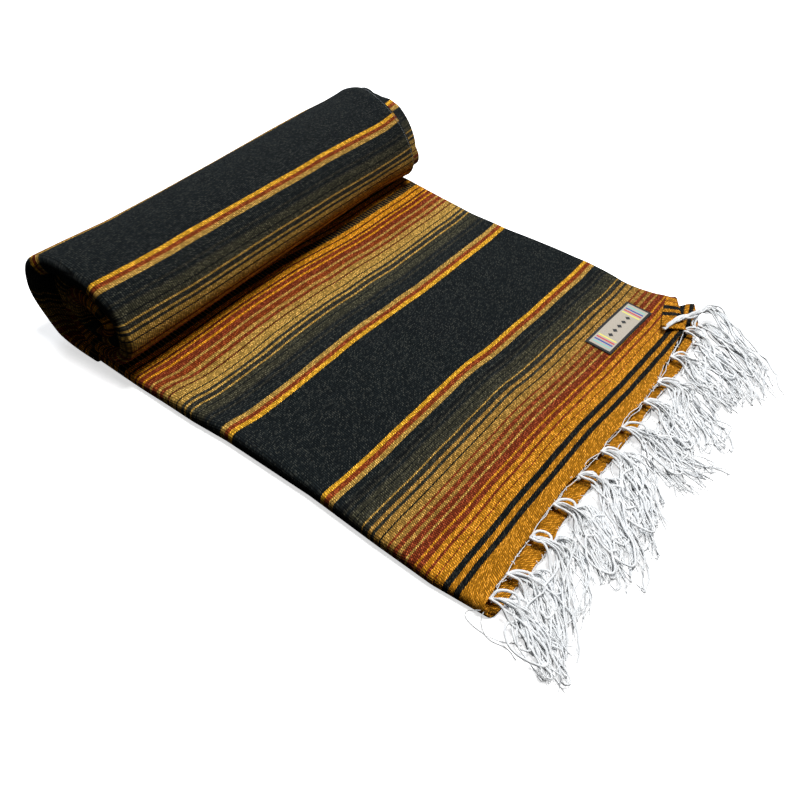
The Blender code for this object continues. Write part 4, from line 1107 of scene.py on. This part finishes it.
def selvedge_stitches(tree):
    """Grey overlock stitches round the roll's far end, just inside the outermost selvedge."""
    turns = np.linspace(*STITCHED_TURNS, 140)
    y = SELVEDGE_Y + interpolate(ROLL_ENDS, turns, "far") * MM - STITCHED_BACK
    x, z = roll_outline(turns, y)
    outward = unit(np.stack([x - x.mean(), 0 * y, z - z.mean()], axis=1))
    line = np.stack([x, y, z], axis=1) + outward * STITCHES_PROUD
    return grown("selvedge_stitches", [(line / MM, 1.0)], tree)


# ---- camera, light and floor ------------------------------------------
CAMERA_PLACE = np.array([100.5, -280.6, 457.6]) * MM - CENTRE
CAMERA_YAW, CAMERA_PITCH, CAMERA_ROLL = math.radians(32.366), math.radians(44.191), math.radians(6.569)
LENS_MM = 37.28
SENSOR_MM = 36.0
WALL_SEEN, WALL_LIGHT = 0.9, 0.02        # brightness of the pale wall in view, and of its light
FLOOR_HALF = 6                           # metres from the middle of the floor to its side
FLOOR_Z = -0.0004


def camera():
    """The camera, looking down at the blanket from beyond its fringed end."""
    data = bpy.data.cameras.new("camera")
    data.lens = LENS_MM
    data.sensor_width = SENSOR_MM
    data.clip_start = 0.01
    back = Vector((math.sin(CAMERA_YAW) * math.cos(CAMERA_PITCH),
                   -math.cos(CAMERA_YAW) * math.cos(CAMERA_PITCH), math.sin(CAMERA_PITCH)))
    level = Vector((0, 0, 1)).cross(back).normalized()
    upright = back.cross(level)
    turn, lean = math.cos(CAMERA_ROLL), math.sin(CAMERA_ROLL)
    axes = Matrix((level * turn + upright * lean, upright * turn - level * lean, back))
    made = new_object("camera", data)
    made.matrix_world = Matrix.Translation(Vector(CAMERA_PLACE)) @ axes.transposed().to_4x4()
    bpy.context.scene.camera = made


def lamp(name, place, size, power, colour):
    """A large soft lamp that faces the blanket."""
    data = bpy.data.lights.new(name, "AREA")
    data.shape = "SQUARE"
    data.size = size
    data.energy = power
    data.color = linear(colour)[:3]
    light = new_object(name, data)
    light.location = place
    light.rotation_euler = (-Vector(place)).to_track_quat("-Z", "Y").to_euler()


def studio():
    """Soft lamps from above and behind, a pale wall and a bright floor."""
    lamp("top_lamp", place=(0.1, 0.3, 2.6), size=0.9, power=80.0, colour="#FFFFFF")
    lamp("back_lamp", place=(-1.3, 1.2, 1.2), size=0.9, power=20.0, colour="#F0F6FF")
    lamp("right_lamp", place=(1.5, 0.5, 1.3), size=1.0, power=0.5, colour="#F8FBFF")
    world = bpy.data.worlds.new("studio_air")
    world.use_nodes = True
    tree = world.node_tree
    # a pale wall to look at, which lights the blanket only a little
    seen = node(tree, "ShaderNodeLightPath").outputs["Is Camera Ray"]
    glow = node(tree, "ShaderNodeMath", (seen, WALL_SEEN, WALL_LIGHT), operation="MULTIPLY_ADD")
    set_inputs(tree, tree.nodes["Background"], {"Color": linear("#FFFFFF"), "Strength": glow})
    bpy.context.scene.world = world
    bpy.context.scene.view_settings.view_transform = "Standard"
    corners = [(x * FLOOR_HALF, y * FLOOR_HALF, FLOOR_Z) for x, y in ((-1, -1), (1, -1), (1, 1), (-1, 1))]
    floor = new_piece("floor", np.array(corners) + CENTRE, [(0, 1, 2, 3)], lit_board())
    floor.visible_diffuse = False
    floor.visible_glossy = False


# ---- the blanket ------------------------------------------------------
camera()
studio()
yarn, stitches = yarn_tree(), stitch_tree()
outer = folded_sheet("outer_cloth", radius=FOLD_RADIUS - LAYER / 2, squareness=0.5,
                     upper_in=0.0, lower_in=0.6 * MM, spacing=3.2 * MM)
inner = folded_sheet("inner_cloth", radius=FOLD_RADIUS - PITCH - LAYER / 2, squareness=1.0,
                     upper_in=2.2 * MM, lower_in=0.2 * MM, spacing=4.5 * MM)
flap = corner_flap()
roll = rolled_cloth()
label = sewn_label()
upper_yarn = fringe("upper_fringe_yarn", yarn, UPPER_END, UPPER_TASSELS, seed=3, root_z=8.2, floor_z=1.4,
                    yarns=17, ledge=12)
lower_yarn = fringe("lower_fringe_yarn", yarn, LOWER_END, LOWER_TASSELS, seed=5, root_z=3.4, floor_z=0.8,
                    yarns=15, ledge=2)
tassel_yarn = corner_tassel(yarn)
sewing = selvedge_stitches(stitches)

for piece, slot, nodes in (
        (outer, "woven_cloth", ["flat_upper_layer"]), (inner, "woven_cloth", ["flat_lower_layers"]),
        (flap, "woven_cloth", ["corner_flap"]),
        (roll, "woven_cloth", ["roll_outer_wrap", "roll_inner_wraps"]),
        (label, "label_tape", ["woven_label"]), (upper_yarn, "cotton_fringe", ["upper_fringe"]),
        (lower_yarn, "cotton_fringe", ["lower_fringe"]), (tassel_yarn, "cotton_fringe", ["corner_tassel"]),
        (sewing, "cotton_fringe", [])):
    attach(piece, "root")
    if nodes:
        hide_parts(*nodes)
